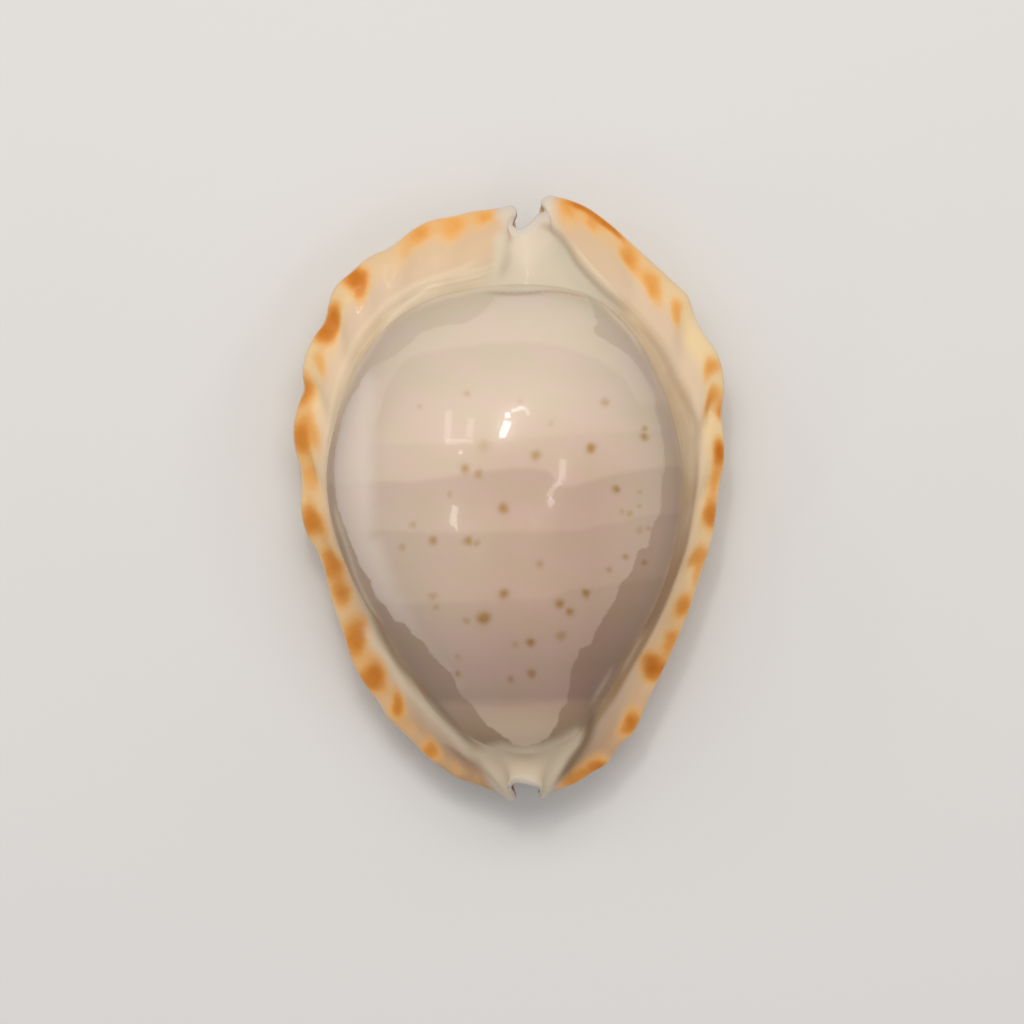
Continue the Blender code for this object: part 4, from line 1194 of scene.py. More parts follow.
@dataclass(frozen=True)
class EnamelFinish:
    """The glossy enamel of the shell's outside, with its colour pattern and some painted shade and
    painted reflection.

    Colours with a number stand at that distance from the shell's middle, along it or across it:
    the lowest, the highest, then those between. A pair of numbers says where an effect begins and
    where it is in full.
    """

    # The back under its whiter layer: along the shell, darker low on the anterior slope partly as
    # painted shade, then across it, darker towards the middle partly as a tint and partly as painted
    # shade, and cloudy streaks
    back_colours_and_shade: Stops = (
        (-28.0, (0.86, 0.71, 0.51, 1.0)), (23.0, (0.745, 0.63, 0.485, 1.0)),
        (-25.0, (0.80, 0.65, 0.47, 1.0)), (-22.6, (0.66, 0.51, 0.38, 1.0)),
        (-21.4, (0.55, 0.41, 0.32, 1.0)), (-18.0, (0.575, 0.43, 0.34, 1.0)),
        (-11.0, (0.72, 0.56, 0.425, 1.0)), (-3.0, (0.77, 0.61, 0.47, 1.0)),
        (6.0, (0.785, 0.63, 0.49, 1.0)), (14.0, (0.745, 0.61, 0.475, 1.0)),
    )
    side_tint_and_shade: Stops = (
        (-14.0, (1.0, 1.0, 1.0, 1.0)), (16.0, (0.99, 0.96, 0.93, 1.0)),
        (-7.0, (0.97, 0.94, 0.93, 1.0)), (0.0, (0.87, 0.80, 0.78, 1.0)),
        (9.0, (0.87, 0.785, 0.765, 1.0)),
    )
    side_range: Range = (13.0, 0.0)
    cloud_pink: Colour = (1.02, 0.985, 1.03, 1.0)
    cloud_cream: Colour = (0.985, 0.995, 0.965, 1.0)
    streak_stretch: Triple = (0.16, 0.36, 0.0)
    streak_detail: float = 3.0
    streak_range: Range = (0.36, 0.64)

    # Growth steps, darker on the anterior side, or lighter where the strength is negative
    step_strengths: tuple[tuple[str, Triple], ...] = (
        ("steps_upper", (0.20, 0.50, 0.38)), ("steps_lower", (0.30, -0.3, 0.28)),
    )
    step_front: Range = (0.35, -0.45)
    step_fade: Range = (-8.0, -0.1)
    step_shade: Colour = (0.78, 0.75, 0.75, 1.0)
    step_light: Colour = (1.25, 1.25, 1.2, 1.0)

    # What shows beyond the whiter layer's ragged edge, darker partly as painted shade, and that layer's
    # whitest strip
    bare_tint_and_shade: Stops = (
        (-28.0, (0.50, 0.42, 0.35, 1.0)), (23.0, (0.90, 0.89, 0.86, 1.0)),
        (-25.0, (0.64, 0.56, 0.49, 1.0)), (-22.0, (0.79, 0.73, 0.68, 1.0)),
        (-12.0, (0.77, 0.70, 0.64, 1.0)), (3.0, (0.87, 0.83, 0.79, 1.0)),
        (12.0, (0.88, 0.86, 0.86, 1.0)), (18.0, (0.86, 0.85, 0.84, 1.0)),
    )
    bare_right_tint_and_shade: Colour = (0.94, 0.93, 0.93, 1.0)
    bare_right_shade_range: Range = (2.0, 10.0)
    veil_and_reflection_raggedness: float = 0.58
    veil_and_reflection_softness: float = 0.13
    strip_raggedness: float = 0.5
    strip_softness: float = 1.2
    strip_white: Colour = (0.93, 0.78, 0.66, 1.0)
    strip_least: float = 0.16
    strip_more: float = 0.58
    strip_range: Range = (-17.0, -5.0)

    # Tan spots, and how far noise moves them and their outlines
    spot_tan: Colour = (0.69, 0.55, 0.26, 1.0)
    spot_wander: float = 0.36

    # Grooved band: its cloudy colour, its browner columellar side, and its thin lines
    band_olive: Colour = (0.70, 0.53, 0.34, 1.0)
    band_grey: Colour = (0.74, 0.60, 0.42, 1.0)
    band_cloud: Range = (0.4, 0.6)
    band_shades: Stops = (
        (-24.0, (0.70, 0.58, 0.46, 1.0)), (22.0, (1.0, 1.0, 1.0, 1.0)),
        (-9.0, (0.64, 0.47, 0.36, 1.0)), (0.0, (0.78, 0.70, 0.64, 1.0)),
        (6.0, (0.87, 0.83, 0.78, 1.0)),
    )
    band_right: Range = (3.0, 12.0)
    band_left: Range = (14.0, 0.0)
    band_pale: Range = (0.50, 0.72)
    band_pale_share: float = 0.18
    band_dark: Range = (0.50, 0.28)
    band_dark_share: float = 0.16
    line_pale: Colour = (0.96, 0.79, 0.57, 1.0)
    # Dark of the band's thin lines, also laid over the furrows and hollows, where it is partly painted
    # shade
    line_dark_and_shade: Colour = (0.33, 0.215, 0.125, 1.0)
    line_stretch: Triple = (1.6, 0.0, 0.06)
    line_detail: float = 2.0

    # Flange: its outer part, its inner part, its blotches and its pale rim
    flange_colours: Stops = (
        (-33.0, (0.40, 0.24, 0.13, 1.0)), (33.0, (0.76, 0.46, 0.24, 1.0)),
        (-27.5, (0.60, 0.37, 0.22, 1.0)), (-18.0, (0.86, 0.58, 0.34, 1.0)),
        (4.0, (0.93, 0.69, 0.38, 1.0)), (20.0, (0.89, 0.67, 0.38, 1.0)),
        (26.0, (0.80, 0.56, 0.32, 1.0)),
    )
    inner_colours: Stops = (
        (-33.0, (0.44, 0.31, 0.22, 1.0)), (33.0, (0.74, 0.49, 0.28, 1.0)),
        (-25.0, (0.66, 0.465, 0.32, 1.0)), (-16.0, (0.82, 0.60, 0.395, 1.0)),
        (2.0, (0.87, 0.67, 0.45, 1.0)), (22.0, (0.77, 0.58, 0.40, 1.0)),
    )
    inner_range: Range = (-1.8, -4.4)
    blotch_yellow: Colour = (0.91, 0.54, 0.21, 1.0)
    blotch_orange: Colour = (0.85, 0.36, 0.06, 1.0)
    blotch_brown: Colour = (0.60, 0.16, 0.002, 1.0)
    yellow_range: Range = (0.10, 0.56)
    orange_range: Range = (0.28, 0.76)
    brown_range: Range = (0.48, 0.86)
    tone_range: Range = (0.2, 1.0)
    patch_scale: float = 0.8
    patch_detail: float = 4.0
    patch_share: float = 0.26
    rim_white: Colour = (0.85, 0.78, 0.68, 1.0)
    rim_range: Range = (0.28, 0.02)
    rim_share: float = 0.5

    # Saddles below the notches, greener away from the edge, and the notches' whiter rims
    saddle_cream: Colour = (0.78, 0.645, 0.49, 1.0)
    saddle_green: Colour = (0.69, 0.60, 0.45, 1.0)
    saddle_buff: Colour = (0.78, 0.63, 0.445, 1.0)
    green_range: Range = (-3.0, -6.5)
    posterior_range: Range = (-4.0, 4.0)
    notch_white: Colour = (0.66, 0.65, 0.63, 1.0)
    notch_range: Range = (2.2, 0.2)
    notch_share: float = 0.42

    # Base
    base_ivory: Colour = (0.82, 0.71, 0.57, 1.0)
    tooth_white: Colour = (0.86, 0.80, 0.70, 1.0)

    # Gloss, and the fine grain that only the parts without gloss have
    cloud_scale: float = 0.16
    grain_scale: float = 2.4
    dome_roughness: float = 0.20
    flange_roughness: float = 0.38
    grain_roughness: float = 0.08
    dome_polish: float = 0.6
    flange_polish: float = 0.08
    polish_roughness: float = 0.05
    refraction: float = 1.52
    specular: float = 0.35
    bump_strength: float = 0.12
    bump_depth: float = 0.1
    grain_height: float = 0.25

    def by_length(self, graph: Graph, where: Socket, colours: Stops) -> Socket:
        """Return the colour for each distance from the shell's middle."""
        low, high = colours[0][0], colours[1][0]
        share = graph.math("MULTIPLY_ADD", where, 1.0 / (high - low), -low / (high - low))
        return graph.ramp(share, tuple(((at - low) / (high - low), colour) for at, colour in colours))

    def growth(self, graph: Graph, plan: Socket) -> Socket:
        """Colour the back under its whiter layer, with its streaks and growth steps, darker low on the
        anterior slope and towards the middle partly as painted shade.
        """
        x, y, _ = graph.parts(plan)
        grown = self.by_length(graph, y, self.back_colours_and_shade)
        across = self.by_length(graph, x, self.side_tint_and_shade)
        # Darker towards the middle and the columellar side, partly a tint and partly painted shade
        grown = graph.shade(graph.step(y, *self.side_range), grown, across)
        streaks = graph.noise(graph.vector("MULTIPLY", plan, self.streak_stretch), 1.0,
                              self.streak_detail)
        tint = graph.mix(graph.step(streaks, *self.streak_range), self.cloud_cream, self.cloud_pink)
        grown = graph.shade(1.0, grown, tint)
        for name, strengths in self.step_strengths:
            for offset, strength in zip(graph.parts(graph.attribute(name)), strengths):
                amount = graph.product(graph.step(offset, *self.step_front),
                                       graph.step(offset, *self.step_fade), abs(strength))
                shade = self.step_shade if strength > 0.0 else self.step_light
                grown = graph.shade(amount, grown, shade)
        return grown

    def back(self, graph: Graph, groups: Groups, plan: Socket,
             spots: Places) -> tuple[Socket, Socket]:
        """Colour the dome: its growth colour, its whiter layer with a ragged edge that is partly a
        painted reflection, the painted shade beyond that edge, and its spots.

        Args:
            graph: The material's graph.
            groups: The effect groups by name.
            plan: Each point's plan place.
            spots: The spots' places, radii and strengths.

        Returns:
            The dome's colour, and the mask of the whiter layer and its painted reflection.
        """
        x, y, _ = graph.parts(plan)
        grown = self.growth(graph, plan)
        veil_and_reflection, strip, _ = graph.parts(graph.attribute("layers"))
        edge = graph.group(groups["ragged edge"], Distance=veil_and_reflection, Place=plan,
                           Raggedness=self.veil_and_reflection_raggedness, Softness=self.veil_and_reflection_softness)["Mask"]
        # Beyond the ragged edge the back is darker, partly its own colour and partly painted shade;
        # inside it the paler layer is partly a painted reflection
        shaded_bare = graph.shade(1.0, grown, self.by_length(graph, y, self.bare_tint_and_shade))
        shaded_bare = graph.shade(graph.step(x, *self.bare_right_shade_range), shaded_bare, self.bare_right_tint_and_shade)
        colour = graph.mix(edge, shaded_bare, grown)
        white = graph.group(groups["ragged edge"], Distance=strip, Place=plan,
                            Raggedness=self.strip_raggedness, Softness=self.strip_softness)["Mask"]
        amount = graph.math("MULTIPLY_ADD", graph.step(y, *self.strip_range), self.strip_more,
                            self.strip_least)
        colour = graph.mix(graph.product(white, edge, amount), colour, self.strip_white)
        marks = self.spotted(graph, groups, plan, spots)
        return graph.shade(marks, colour, self.spot_tan), edge

    def spotted(self, graph: Graph, groups: Groups, plan: Socket, spots: Places) -> Socket:
        """Return a mask of the tan spots, each a little out of round."""
        wander = graph.noise(plan, 1.0, 0.0).node.outputs["Color"]
        reach = (self.spot_wander, self.spot_wander, 0.0)
        half = (self.spot_wander / 2.0, self.spot_wander / 2.0, 0.0)
        place = graph.vector("SUBTRACT", graph.vector("MULTIPLY_ADD", wander, reach, plan), half)
        marks: object = 0.0
        for x, y, radius, strength in spots:
            marks = graph.group(groups["spot"], Place=place, Centre=(x, y, 0.0), Radius=radius,
                                Strength=strength, Before=marks)["Spots"]
        dome = graph.parts(graph.attribute("zones_top"))[0]
        return graph.product(marks, dome)

    def band(self, graph: Graph, plan: Socket, cloud: Socket, fine: Socket) -> Socket:
        """Colour the grooved band, browner on the columellar side, with its thin growth lines."""
        x, y, _ = graph.parts(plan)
        colour = graph.mix(graph.step(cloud, *self.band_cloud), self.band_olive, self.band_grey)
        browner = self.by_length(graph, y, self.band_shades)
        colour = graph.shade(graph.step(x, *self.band_right), colour, browner)
        pale = graph.product(graph.step(x, *self.band_left), self.band_pale_share,
                             graph.step(fine, *self.band_pale))
        dark = graph.product(graph.step(fine, *self.band_dark), self.band_dark_share)
        return graph.mix(dark, graph.mix(pale, colour, self.line_pale), self.line_dark_and_shade)

    def flange(self, graph: Graph, plan: Socket, edge_gap: Socket) -> Socket:
        """Colour the flange: cream, pinker towards the band, with its blotches and pale rim."""
        y = graph.parts(plan)[1]
        cream = self.by_length(graph, y, self.flange_colours)
        inner = self.by_length(graph, y, self.inner_colours)
        cream = graph.mix(graph.step(edge_gap, *self.inner_range), cream, inner)
        blotch, tone, _ = graph.parts(graph.attribute("blotches"))
        patches = graph.math("SUBTRACT", graph.noise(plan, self.patch_scale, self.patch_detail), 0.5)
        uneven = graph.math("MULTIPLY_ADD", patches, self.patch_share, blotch)
        colour = graph.mix(graph.slope(uneven, *self.yellow_range), cream, self.blotch_yellow)
        colour = graph.mix(graph.slope(uneven, *self.orange_range), colour, self.blotch_orange)
        dark = graph.product(graph.slope(uneven, *self.brown_range),
                             graph.step(tone, *self.tone_range))
        colour = graph.mix(dark, colour, self.blotch_brown)
        rim = graph.step(graph.math("ABSOLUTE", edge_gap), *self.rim_range)
        return graph.mix(graph.product(rim, self.rim_share), colour, self.rim_white)

    def saddle(self, graph: Graph, plan: Socket, edge_gap: Socket) -> Socket:
        """Colour the saddles below the notches, cream with a bluish white rim."""
        y = graph.parts(plan)[1]
        greener = graph.step(edge_gap, *self.green_range)
        posterior = graph.mix(greener, self.saddle_cream, self.saddle_green)
        colour = graph.mix(graph.step(y, *self.posterior_range), self.saddle_buff, posterior)
        rim = graph.step(graph.math("ABSOLUTE", edge_gap), *self.notch_range)
        return graph.mix(graph.product(rim, self.notch_share), colour, self.notch_white)

    def material(self, groups: Groups, spots: Places) -> bpy.types.Material:
        """Build the enamel.

        Args:
            groups: The effect groups by name.
            spots: The spots on the back.

        Returns:
            The material.
        """
        material, graph, shader = new_material("shell enamel")
        plan, gaps = graph.attribute("plan"), graph.attribute("gaps")
        edge_gap = graph.parts(gaps)[1]
        mottle = graph.group(groups["mottle"], Place=plan, Cloud_Scale=self.cloud_scale,
                             Grain_Scale=self.grain_scale)
        grain = mottle["Grain"]
        fine = graph.noise(graph.vector("MULTIPLY", gaps, self.line_stretch), 1.0, self.line_detail)
        dome, band, _ = graph.parts(graph.attribute("zones_top"))
        saddle, base, teeth = graph.parts(graph.attribute("zones_rest"))
        # The furrows' and hollows' darkening, partly their own colour and partly painted shade
        pale, dark, _ = graph.parts(graph.attribute("ridges"))
        back, veil_and_reflection = self.back(graph, groups, plan, spots)
        colour = self.flange(graph, plan, edge_gap)
        for amount, over in (
            (base, self.base_ivory), (teeth, self.tooth_white),
            (band, self.band(graph, plan, mottle["Cloud"], fine)), (dome, back),
            (saddle, self.saddle(graph, plan, edge_gap)), (pale, self.line_pale),
            (dark, self.line_dark_and_shade),
        ):
            colour = graph.mix(amount, colour, over)
        gloss = graph.product(dome, veil_and_reflection, graph.math("SUBTRACT", 1.0, saddle))
        rough = graph.math("MULTIPLY_ADD", gloss, self.dome_roughness - self.flange_roughness,
                           self.flange_roughness)
        rough = graph.math("MULTIPLY_ADD", grain, self.grain_roughness, rough)
        polish = graph.math("MULTIPLY_ADD", gloss, self.dome_polish - self.flange_polish,
                            self.flange_polish)
        calm = graph.math("MULTIPLY_ADD", gloss, -self.grain_height, self.grain_height)
        bump = graph.feed(graph.node("ShaderNodeBump"), {
            "Strength": self.bump_strength, "Distance": self.bump_depth * MM,
            "Height": graph.math("MULTIPLY_ADD", grain, calm, graph.product(fine, band))})
        graph.feed(shader, {
            "Base Color": colour, "Roughness": rough, "Coat Weight": polish,
            "Normal": bump.outputs[0], "IOR": self.refraction,
            "Specular IOR Level": self.specular, "Coat Roughness": self.polish_roughness})
        return material


@dataclass(frozen=True)
class InnerWallFinish:
    """The duller inside of the body cavity, ivory at the mouth and mauve deeper in."""

    ivory: Colour = (0.80, 0.70, 0.58, 1.0)
    mauve: Colour = (0.52, 0.40, 0.38, 1.0)
    mauve_range: Range = (0.8, 4.5)
    cloud_scale: float = 0.2
    cloud_depth: float = 1.5
    grain_scale: float = 1.5
    grain_roughness: float = 0.2
    least_roughness: float = 0.3

    def material(self, groups: Groups) -> bpy.types.Material:
        """Build the inner wall's material from the effect groups."""
        material, graph, shader = new_material("inner wall")
        mottle = graph.group(groups["mottle"], Place=graph.attribute("plan"),
                             Cloud_Scale=self.cloud_scale, Grain_Scale=self.grain_scale)
        depth = graph.parts(graph.attribute("layers"))[2]
        uneven = graph.math("MULTIPLY_ADD", mottle["Cloud"], self.cloud_depth, depth)
        rough = graph.math("MULTIPLY_ADD", mottle["Grain"], self.grain_roughness,
                           self.least_roughness)
        graph.feed(shader, {
            "Base Color": graph.mix(graph.step(uneven, *self.mauve_range), self.ivory, self.mauve),
            "Roughness": rough})
        return material


@dataclass(frozen=True)
class Zones:
    """Where each region of the skin fades into the next.

    The saddles' edge and climb and the dome's end are in millimetres, and the others in parts of
    the way from one guide loop to the next. The gaps between teeth get the least share of white.
    """

    upper_end: Range = (-0.3, 0.3)
    dome_end: Range = (-0.2, 0.2)
    band_end: Range = (-0.25, 0.35)
    saddle_edge: Range = (-0.9, 0.5)
    saddle_climb: Range = (-8.5, -3.0)
    base_start: Range = (0.2, 1.8)
    teeth_start: float = 0.8
    tooth_least: float = 0.35

    def past(self, numbers: np.ndarray, loop: Loop, fade: Range) -> np.ndarray:
        """Return how far each point lies past a guide loop, from 0 to 1 over the fade."""
        return ramp(numbers, loop.value + fade[0], loop.value + fade[1])


@dataclass
class ShellSurface:
    """The shell's whole skin: its mesh, the values stored on it, and its finish."""

    form: ShellForm = field(default_factory=ShellForm)
    relief: Relief = field(default_factory=Relief)
    markings: Markings = field(default_factory=Markings)
    zones: Zones = field(default_factory=Zones)
    finish: EnamelFinish = field(default_factory=EnamelFinish)
    inside: InnerWallFinish = field(default_factory=InnerWallFinish)
    name: str = "shell_surface"

    def normals(self, points: np.ndarray) -> np.ndarray:
        """Return the skin's outward normal at each point of the grid."""
        across = np.roll(points, -1, axis=1) - np.roll(points, 1, axis=1)
        normal = np.cross(np.gradient(points, axis=0), across)
        return normal / np.maximum(np.linalg.norm(normal, axis=2, keepdims=True), NORMAL_LEAST)

    def ring_at(self, numbers: np.ndarray, loop: Loop) -> int:
        """Return the number of the ring that lies on a guide loop."""
        return int(np.argmin(np.abs(numbers - loop.value)))

    def gap_from(self, points: np.ndarray, numbers: np.ndarray, loop: Loop) -> np.ndarray:
        """Return each point's distance down its column from a loop, negative above it."""
        steps = np.linalg.norm(np.diff(points, axis=0), axis=2)
        travelled = np.concatenate([np.zeros((1, points.shape[1])), np.cumsum(steps, axis=0)])
        return travelled - travelled[self.ring_at(numbers, loop)]

    def ridge_tints(self, weights: list[np.ndarray]) -> list[np.ndarray]:
        """Return how much the ridges whiten each point, and how much the furrows darken it, partly by
        their own colour and partly as painted shade.
        """
        return [
            np.minimum(sum(max(sign * ridge.paleness, 0.0) * weight
                           for ridge, weight in zip(self.relief.ridges, weights)), 1.0)
            for sign in (1.0, -1.0)
        ]

    def saddle_mask(self, plan: np.ndarray, foot_gap: np.ndarray) -> np.ndarray:
        """Return how far each point lies in one of the two pale saddles, from 0 to 1."""
        masks = [ramp(inside_distance(plan, outline), *self.zones.saddle_edge)
                 for outline in self.markings.saddles]
        return np.maximum(*masks) * ramp(foot_gap, *self.zones.saddle_climb)

    def teeth_mask(self, every: np.ndarray) -> np.ndarray:
        """Return how white the teeth make each point, from 0 to 1."""
        near = ramp(every, Loop.BASE_END.value - self.zones.teeth_start, Loop.LIP.value)
        wave = np.clip(self.form.tooth_wave() / self.form.columellar_tooth, -1.0, 1.0)
        least = self.zones.tooth_least
        ridge = least + (1.0 - least) * (0.5 + 0.5 * wave[None, :])
        return near * (every < Loop.SIDE_WALL.value) * ridge

    def fields(self, points: np.ndarray, numbers: np.ndarray,
               weights: list[np.ndarray]) -> dict[str, np.ndarray]:
        """Work out the values that the finish reads from the mesh.

        Args:
            points: The skin's points by ring and column.
            numbers: Each ring's number among the guide loops.
            weights: Each ridge's weight at each point.

        Returns:
            Vectors by ring and column, under the names that the finish uses.
        """
        zones = self.zones
        plan = self.markings.seen_plan(points)
        every = np.broadcast_to(numbers[:, None], points.shape[:2])
        foot_gap = self.gap_from(points, numbers, Loop.FOOT)
        edge_gap = self.gap_from(points, numbers, Loop.RIM)
        edge = points[self.ring_at(numbers, Loop.RIM)]
        steps = np.linalg.norm(np.roll(edge, -1, axis=0) - edge, axis=1)
        edge_place = np.concatenate([[0.0], np.cumsum(steps[:-1])])
        upper = 1.0 - zones.past(every, Loop.RIM, zones.upper_end)
        offsets = self.relief.step_offsets(plan)
        nothing = np.zeros(every.shape)
        values = {
            "plan": (plan[..., 0], plan[..., 1], nothing),
            "gaps": (foot_gap, edge_gap, np.broadcast_to(edge_place[None, :], every.shape)),
            "zones_top": (1.0 - ramp(foot_gap, *zones.dome_end),
                          1.0 - zones.past(every, Loop.BAND_END, zones.band_end), nothing),
            "zones_rest": (self.saddle_mask(plan, foot_gap) * upper,
                           zones.past(every, Loop.RIM_UNDER, zones.base_start),
                           self.teeth_mask(every)),
            "blotches": (*self.markings.blotch_field(plan, every, edge_gap, edge_place), nothing),
            "steps_upper": offsets[:3],
            "steps_lower": offsets[3:],
            "layers": (inside_distance(plan, self.markings.veil_and_reflection),
                       inside_distance(plan, self.markings.bright_strip),
                       np.maximum(self.gap_from(points, numbers, Loop.LIP), 0.0)),
            "ridges": (*self.ridge_tints(weights), nothing),
        }
        return {name: np.stack(three, axis=-1) for name, three in values.items()}

    def faces(self, rings: int, columns: int) -> list[tuple[int, ...]]:
        """Return the skin's faces: a fan at each end and quads between the rings."""
        last = rings * columns + 1
        faces = []
        for column in range(columns):
            following = (column + 1) % columns
            faces.append((0, 1 + column, 1 + following))
            faces.append((last, last - columns + following, last - columns + column))
            for ring in range(rings - 1):
                upper = 1 + ring * columns
                lower = upper + columns
                faces.append((upper + column, lower + column, lower + following, upper + following))
        return faces

    def mesh(self) -> bpy.types.Mesh:
        """Build the mesh with its relief and its stored values."""
        points, numbers = self.form.skin()
        plan = self.markings.seen_plan(points)
        every = np.broadcast_to(numbers[:, None], points.shape[:2])
        weights = self.relief.ridge_weights(plan, every)
        lift = self.relief.height(plan, every, weights)
        points = points + self.normals(points) * lift[..., None]
        points[..., 2] = np.clip(points[..., 2], 0.0, self.form.height)
        rings, columns = points.shape[:2]
        top = np.array([*self.form.pole, self.form.height])
        ceiling = top - np.array([0.0, 0.0, self.form.wall])
        flat = np.vstack([top, points.reshape(-1, 3), ceiling]) * MM
        mesh = bpy.data.meshes.new(self.name)
        mesh.from_pydata(flat.tolist(), [], self.faces(rings, columns))
        mesh.shade_smooth()
        for name, values in self.fields(points, numbers, weights).items():
            ends = values[0].mean(axis=0), values[-1].mean(axis=0)
            whole = np.vstack([ends[0], values.reshape(-1, 3), ends[1]])
            stored = mesh.attributes.new(name, "FLOAT_VECTOR", "POINT")
            stored.data.foreach_set("vector", whole.astype(np.float32).ravel())
        first_inner = 1 + int(np.argmax(numbers > Loop.MOUTH.value)) * columns
        slots = [int(min(polygon.vertices) >= first_inner) for polygon in mesh.polygons]
        mesh.polygons.foreach_set("material_index", slots)
        return mesh

    def build(self, groups: Groups) -> bpy.types.Object:
        """Make the skin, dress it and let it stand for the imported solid.

        Args:
            groups: The effect groups by name.

        Returns:
            The skin's object.
        """
        mesh = self.mesh()
        mesh.materials.append(self.finish.material(groups, self.markings.spots))
        mesh.materials.append(self.inside.material(groups))
        skin = bpy.data.objects.new(self.name, mesh)
        bpy.context.scene.collection.objects.link(skin)
        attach(skin, "root")
        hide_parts("shell")
        log.info("%s: %d points, %d faces", self.name, len(mesh.vertices), len(mesh.polygons))
        return skin


@dataclass(frozen=True)
class StripLight:
    """A rectangular lamp stretched between two places, which faces the shell. Metres and watts."""

    name: str
    start: Triple
    end: Triple
    width: float
    power: float
    mirrored: bool = True
    colour: Triple = (1.0, 0.96, 0.91)
    aim: Triple = (0.0, 0.0, 0.015)

    def build(self) -> bpy.types.Object:
        """Hang the lamp in its place.

        Returns:
            The lamp's object, which shows in the gloss only where it is mirrored.
        """
        start, end = Vector(self.start), Vector(self.end)
        middle = (start + end) / 2.0
        away = (middle - Vector(self.aim)).normalized()
        side = away.cross(end - start).normalized()
        length = side.cross(away)
        data = bpy.data.lights.new(self.name, "AREA")
        data.shape = "RECTANGLE"
        data.size, data.size_y = (end - start).length, self.width
        data.energy = self.power
        data.color = self.colour
        lamp = bpy.data.objects.new(self.name, data)
        turn = Matrix((length, side, away)).transposed()
        lamp.matrix_world = Matrix.Translation(middle) @ turn.to_4x4()
        lamp.visible_glossy = self.mirrored
        bpy.context.scene.collection.objects.link(lamp)
        return lamp


@dataclass(frozen=True)
class FloorFinish:
    """The matt pale board under the shell, very slightly uneven in its tone."""

    pale: Colour = (0.78, 0.77, 0.75, 1.0)
    darker: Colour = (0.6, 0.6, 0.6, 1.0)
    darker_share: float = 0.05
    roughness: float = 0.7
    cloud_scale: float = 8.0
    grain_scale: float = 900.0

    def material(self, groups: Groups) -> bpy.types.Material:
        """Build the floor's material from the effect groups."""
        material, graph, shader = new_material("floor board")
        place = graph.node("ShaderNodeTexCoord").outputs["Object"]
        mottle = graph.group(groups["mottle"], Place=place, Cloud_Scale=self.cloud_scale,
                             Grain_Scale=self.grain_scale)
        tint = graph.product(mottle["Cloud"], self.darker_share)
        graph.feed(shader, {"Base Color": graph.mix(tint, self.pale, self.darker),
                            "Roughness": self.roughness})
        return material


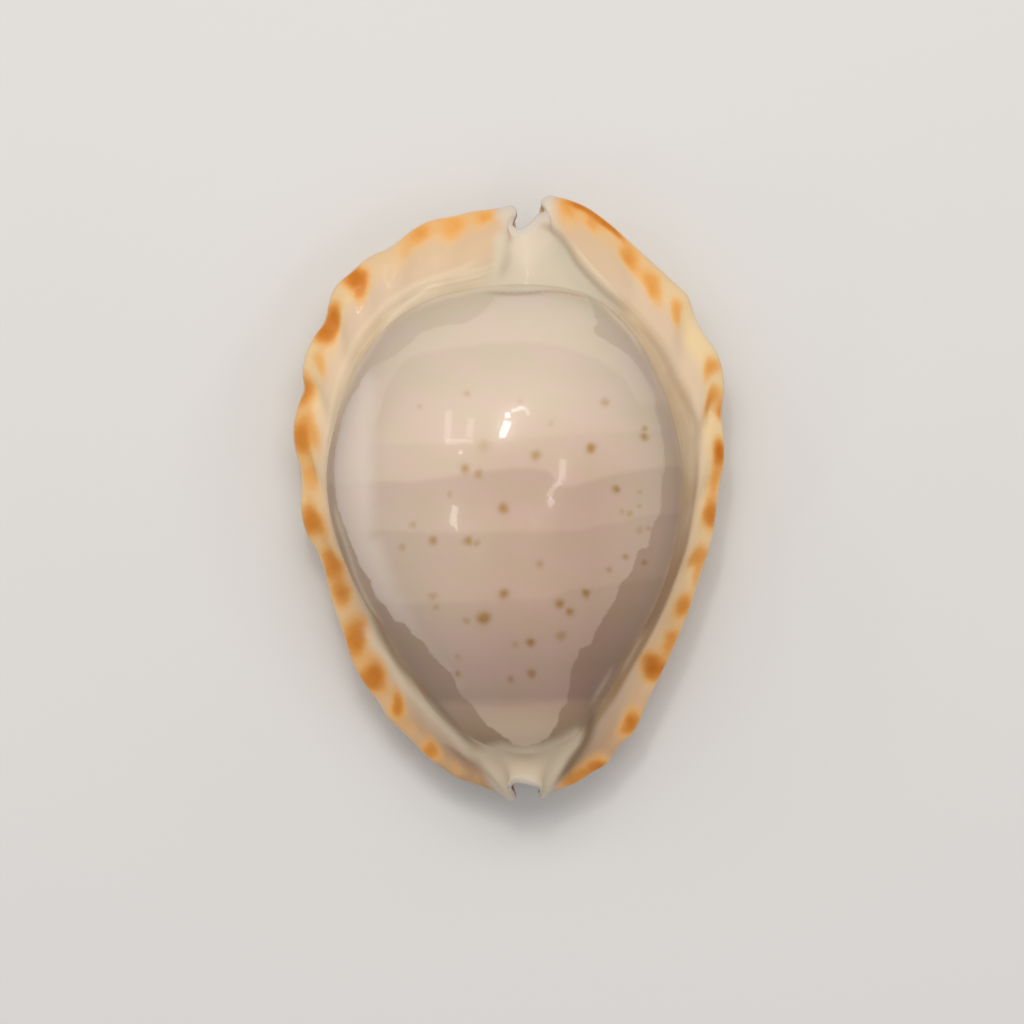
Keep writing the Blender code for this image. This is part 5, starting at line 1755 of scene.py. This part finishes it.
@dataclass
class Studio:
    """The pale floor, the soft light and the camera straight above the shell. Metres."""

    floor_size: float = 4.0
    floor_finish: FloorFinish = field(default_factory=FloorFinish)
    world_colour: Colour = (0.86, 0.87, 0.90, 1.0)
    world_strength: float = 0.53
    world_mirrored: float = 0.10
    view_width: float = 0.1113
    lens: float = 200.0
    sensor: float = 36.0
    camera_middle: tuple[float, float] = (0.00027, -0.00136)
    camera_level: float = 0.0075
    camera_clip: Range = (0.01, 20.0)
    lamps: tuple[StripLight, ...] = (
        StripLight("key softbox", (-0.20, 0.22, 0.50), (0.20, 0.22, 0.50), 0.24, 1.15, False),
        StripLight("bright lamp", (-0.031, 0.223, 0.392), (-0.051, 0.159, 0.421), 0.024, 0.14),
        StripLight("bright lamp end", (-0.035, 0.254, 0.371), (-0.034, 0.238, 0.383), 0.015, 0.03),
        StripLight("lamp arm", (-0.023, 0.260, 0.368), (0.028, 0.271, 0.360), 0.016, 0.026),
        StripLight("lamp arm end", (0.028, 0.271, 0.360), (0.056, 0.243, 0.377), 0.016, 0.012),
        StripLight("window left", (-0.266, 0.229, 0.277), (-0.294, 0.116, 0.317), 0.032, 0.034),
        StripLight("window sill", (-0.301, 0.111, 0.312), (-0.193, 0.124, 0.388), 0.018, 0.026),
        StripLight("window right", (-0.179, 0.225, 0.346), (-0.206, 0.138, 0.376), 0.034, 0.026),
        StripLight("window drop", (-0.247, 0.085, 0.366), (-0.246, 0.076, 0.368), 0.016, 0.004),
        StripLight("long lamp top", (0.260, 0.057, 0.362), (0.253, -0.032, 0.370), 0.036, 0.044),
        StripLight("long lamp bend", (0.251, -0.038, 0.371), (0.214, -0.061, 0.391), 0.024, 0.020),
        StripLight("long lamp low", (0.209, -0.067, 0.393), (0.190, -0.107, 0.393), 0.028, 0.016),
        StripLight("long lamp foot", (0.191, -0.108, 0.393), (0.210, -0.131, 0.375), 0.034, 0.020),
        StripLight("short lamp", (-0.260, -0.150, 0.331), (-0.271, -0.205, 0.286), 0.024, 0.036),
    )

    def floor(self, groups: Groups) -> bpy.types.Object:
        half = self.floor_size / 2.0
        mesh = bpy.data.meshes.new("floor")
        corners = [(-half, -half, 0.0), (half, -half, 0.0), (half, half, 0.0), (-half, half, 0.0)]
        mesh.from_pydata(corners, [], [(0, 1, 2, 3)])
        mesh.materials.append(self.floor_finish.material(groups))
        floor = bpy.data.objects.new("floor", mesh)
        bpy.context.scene.collection.objects.link(floor)
        floor.visible_glossy = False
        return floor

    def camera(self) -> bpy.types.Object:
        """Hang the camera above the shell, looking straight down with the posterior end up."""
        data = bpy.data.cameras.new("camera")
        data.lens = self.lens
        data.sensor_width = self.sensor
        data.clip_start, data.clip_end = self.camera_clip
        camera = bpy.data.objects.new("camera", data)
        distance = self.view_width * self.lens / self.sensor
        camera.location = (*self.camera_middle, self.camera_level + distance)
        bpy.context.scene.collection.objects.link(camera)
        bpy.context.scene.camera = camera
        return camera

    def world(self) -> None:
        """Fill the room with an even pale light, which is dimmer where the gloss mirrors it."""
        world = bpy.data.worlds.new("room")
        world.use_nodes = True
        graph = Graph(world.node_tree)
        mirrored = graph.node("ShaderNodeLightPath").outputs["Is Glossy Ray"]
        strength = graph.math("MULTIPLY_ADD", mirrored, self.world_mirrored - self.world_strength,
                              self.world_strength)
        graph.feed(world.node_tree.nodes["Background"],
                   {"Color": self.world_colour, "Strength": strength})
        bpy.context.scene.world = world

    def build(self, groups: Groups) -> None:
        """Set up the whole studio."""
        self.floor(groups)
        self.world()
        for lamp in self.lamps:
            lamp.build()
            log.info("%s hung from %s to %s", lamp.name, lamp.start, lamp.end)
        self.camera()
        bpy.context.scene.view_settings.view_transform = "Standard"


def main() -> None:
    """Build the shell's skin and the studio, and report each piece."""
    logging.basicConfig(level=logging.INFO, format="%(name)s: %(message)s")
    log.info("packed nodes: %s", ", ".join(sorted(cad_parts)))
    groups = EffectGroups().build()
    skin = ShellSurface().build(groups)
    Studio().build(groups)


if __name__ == "__main__":
    main()
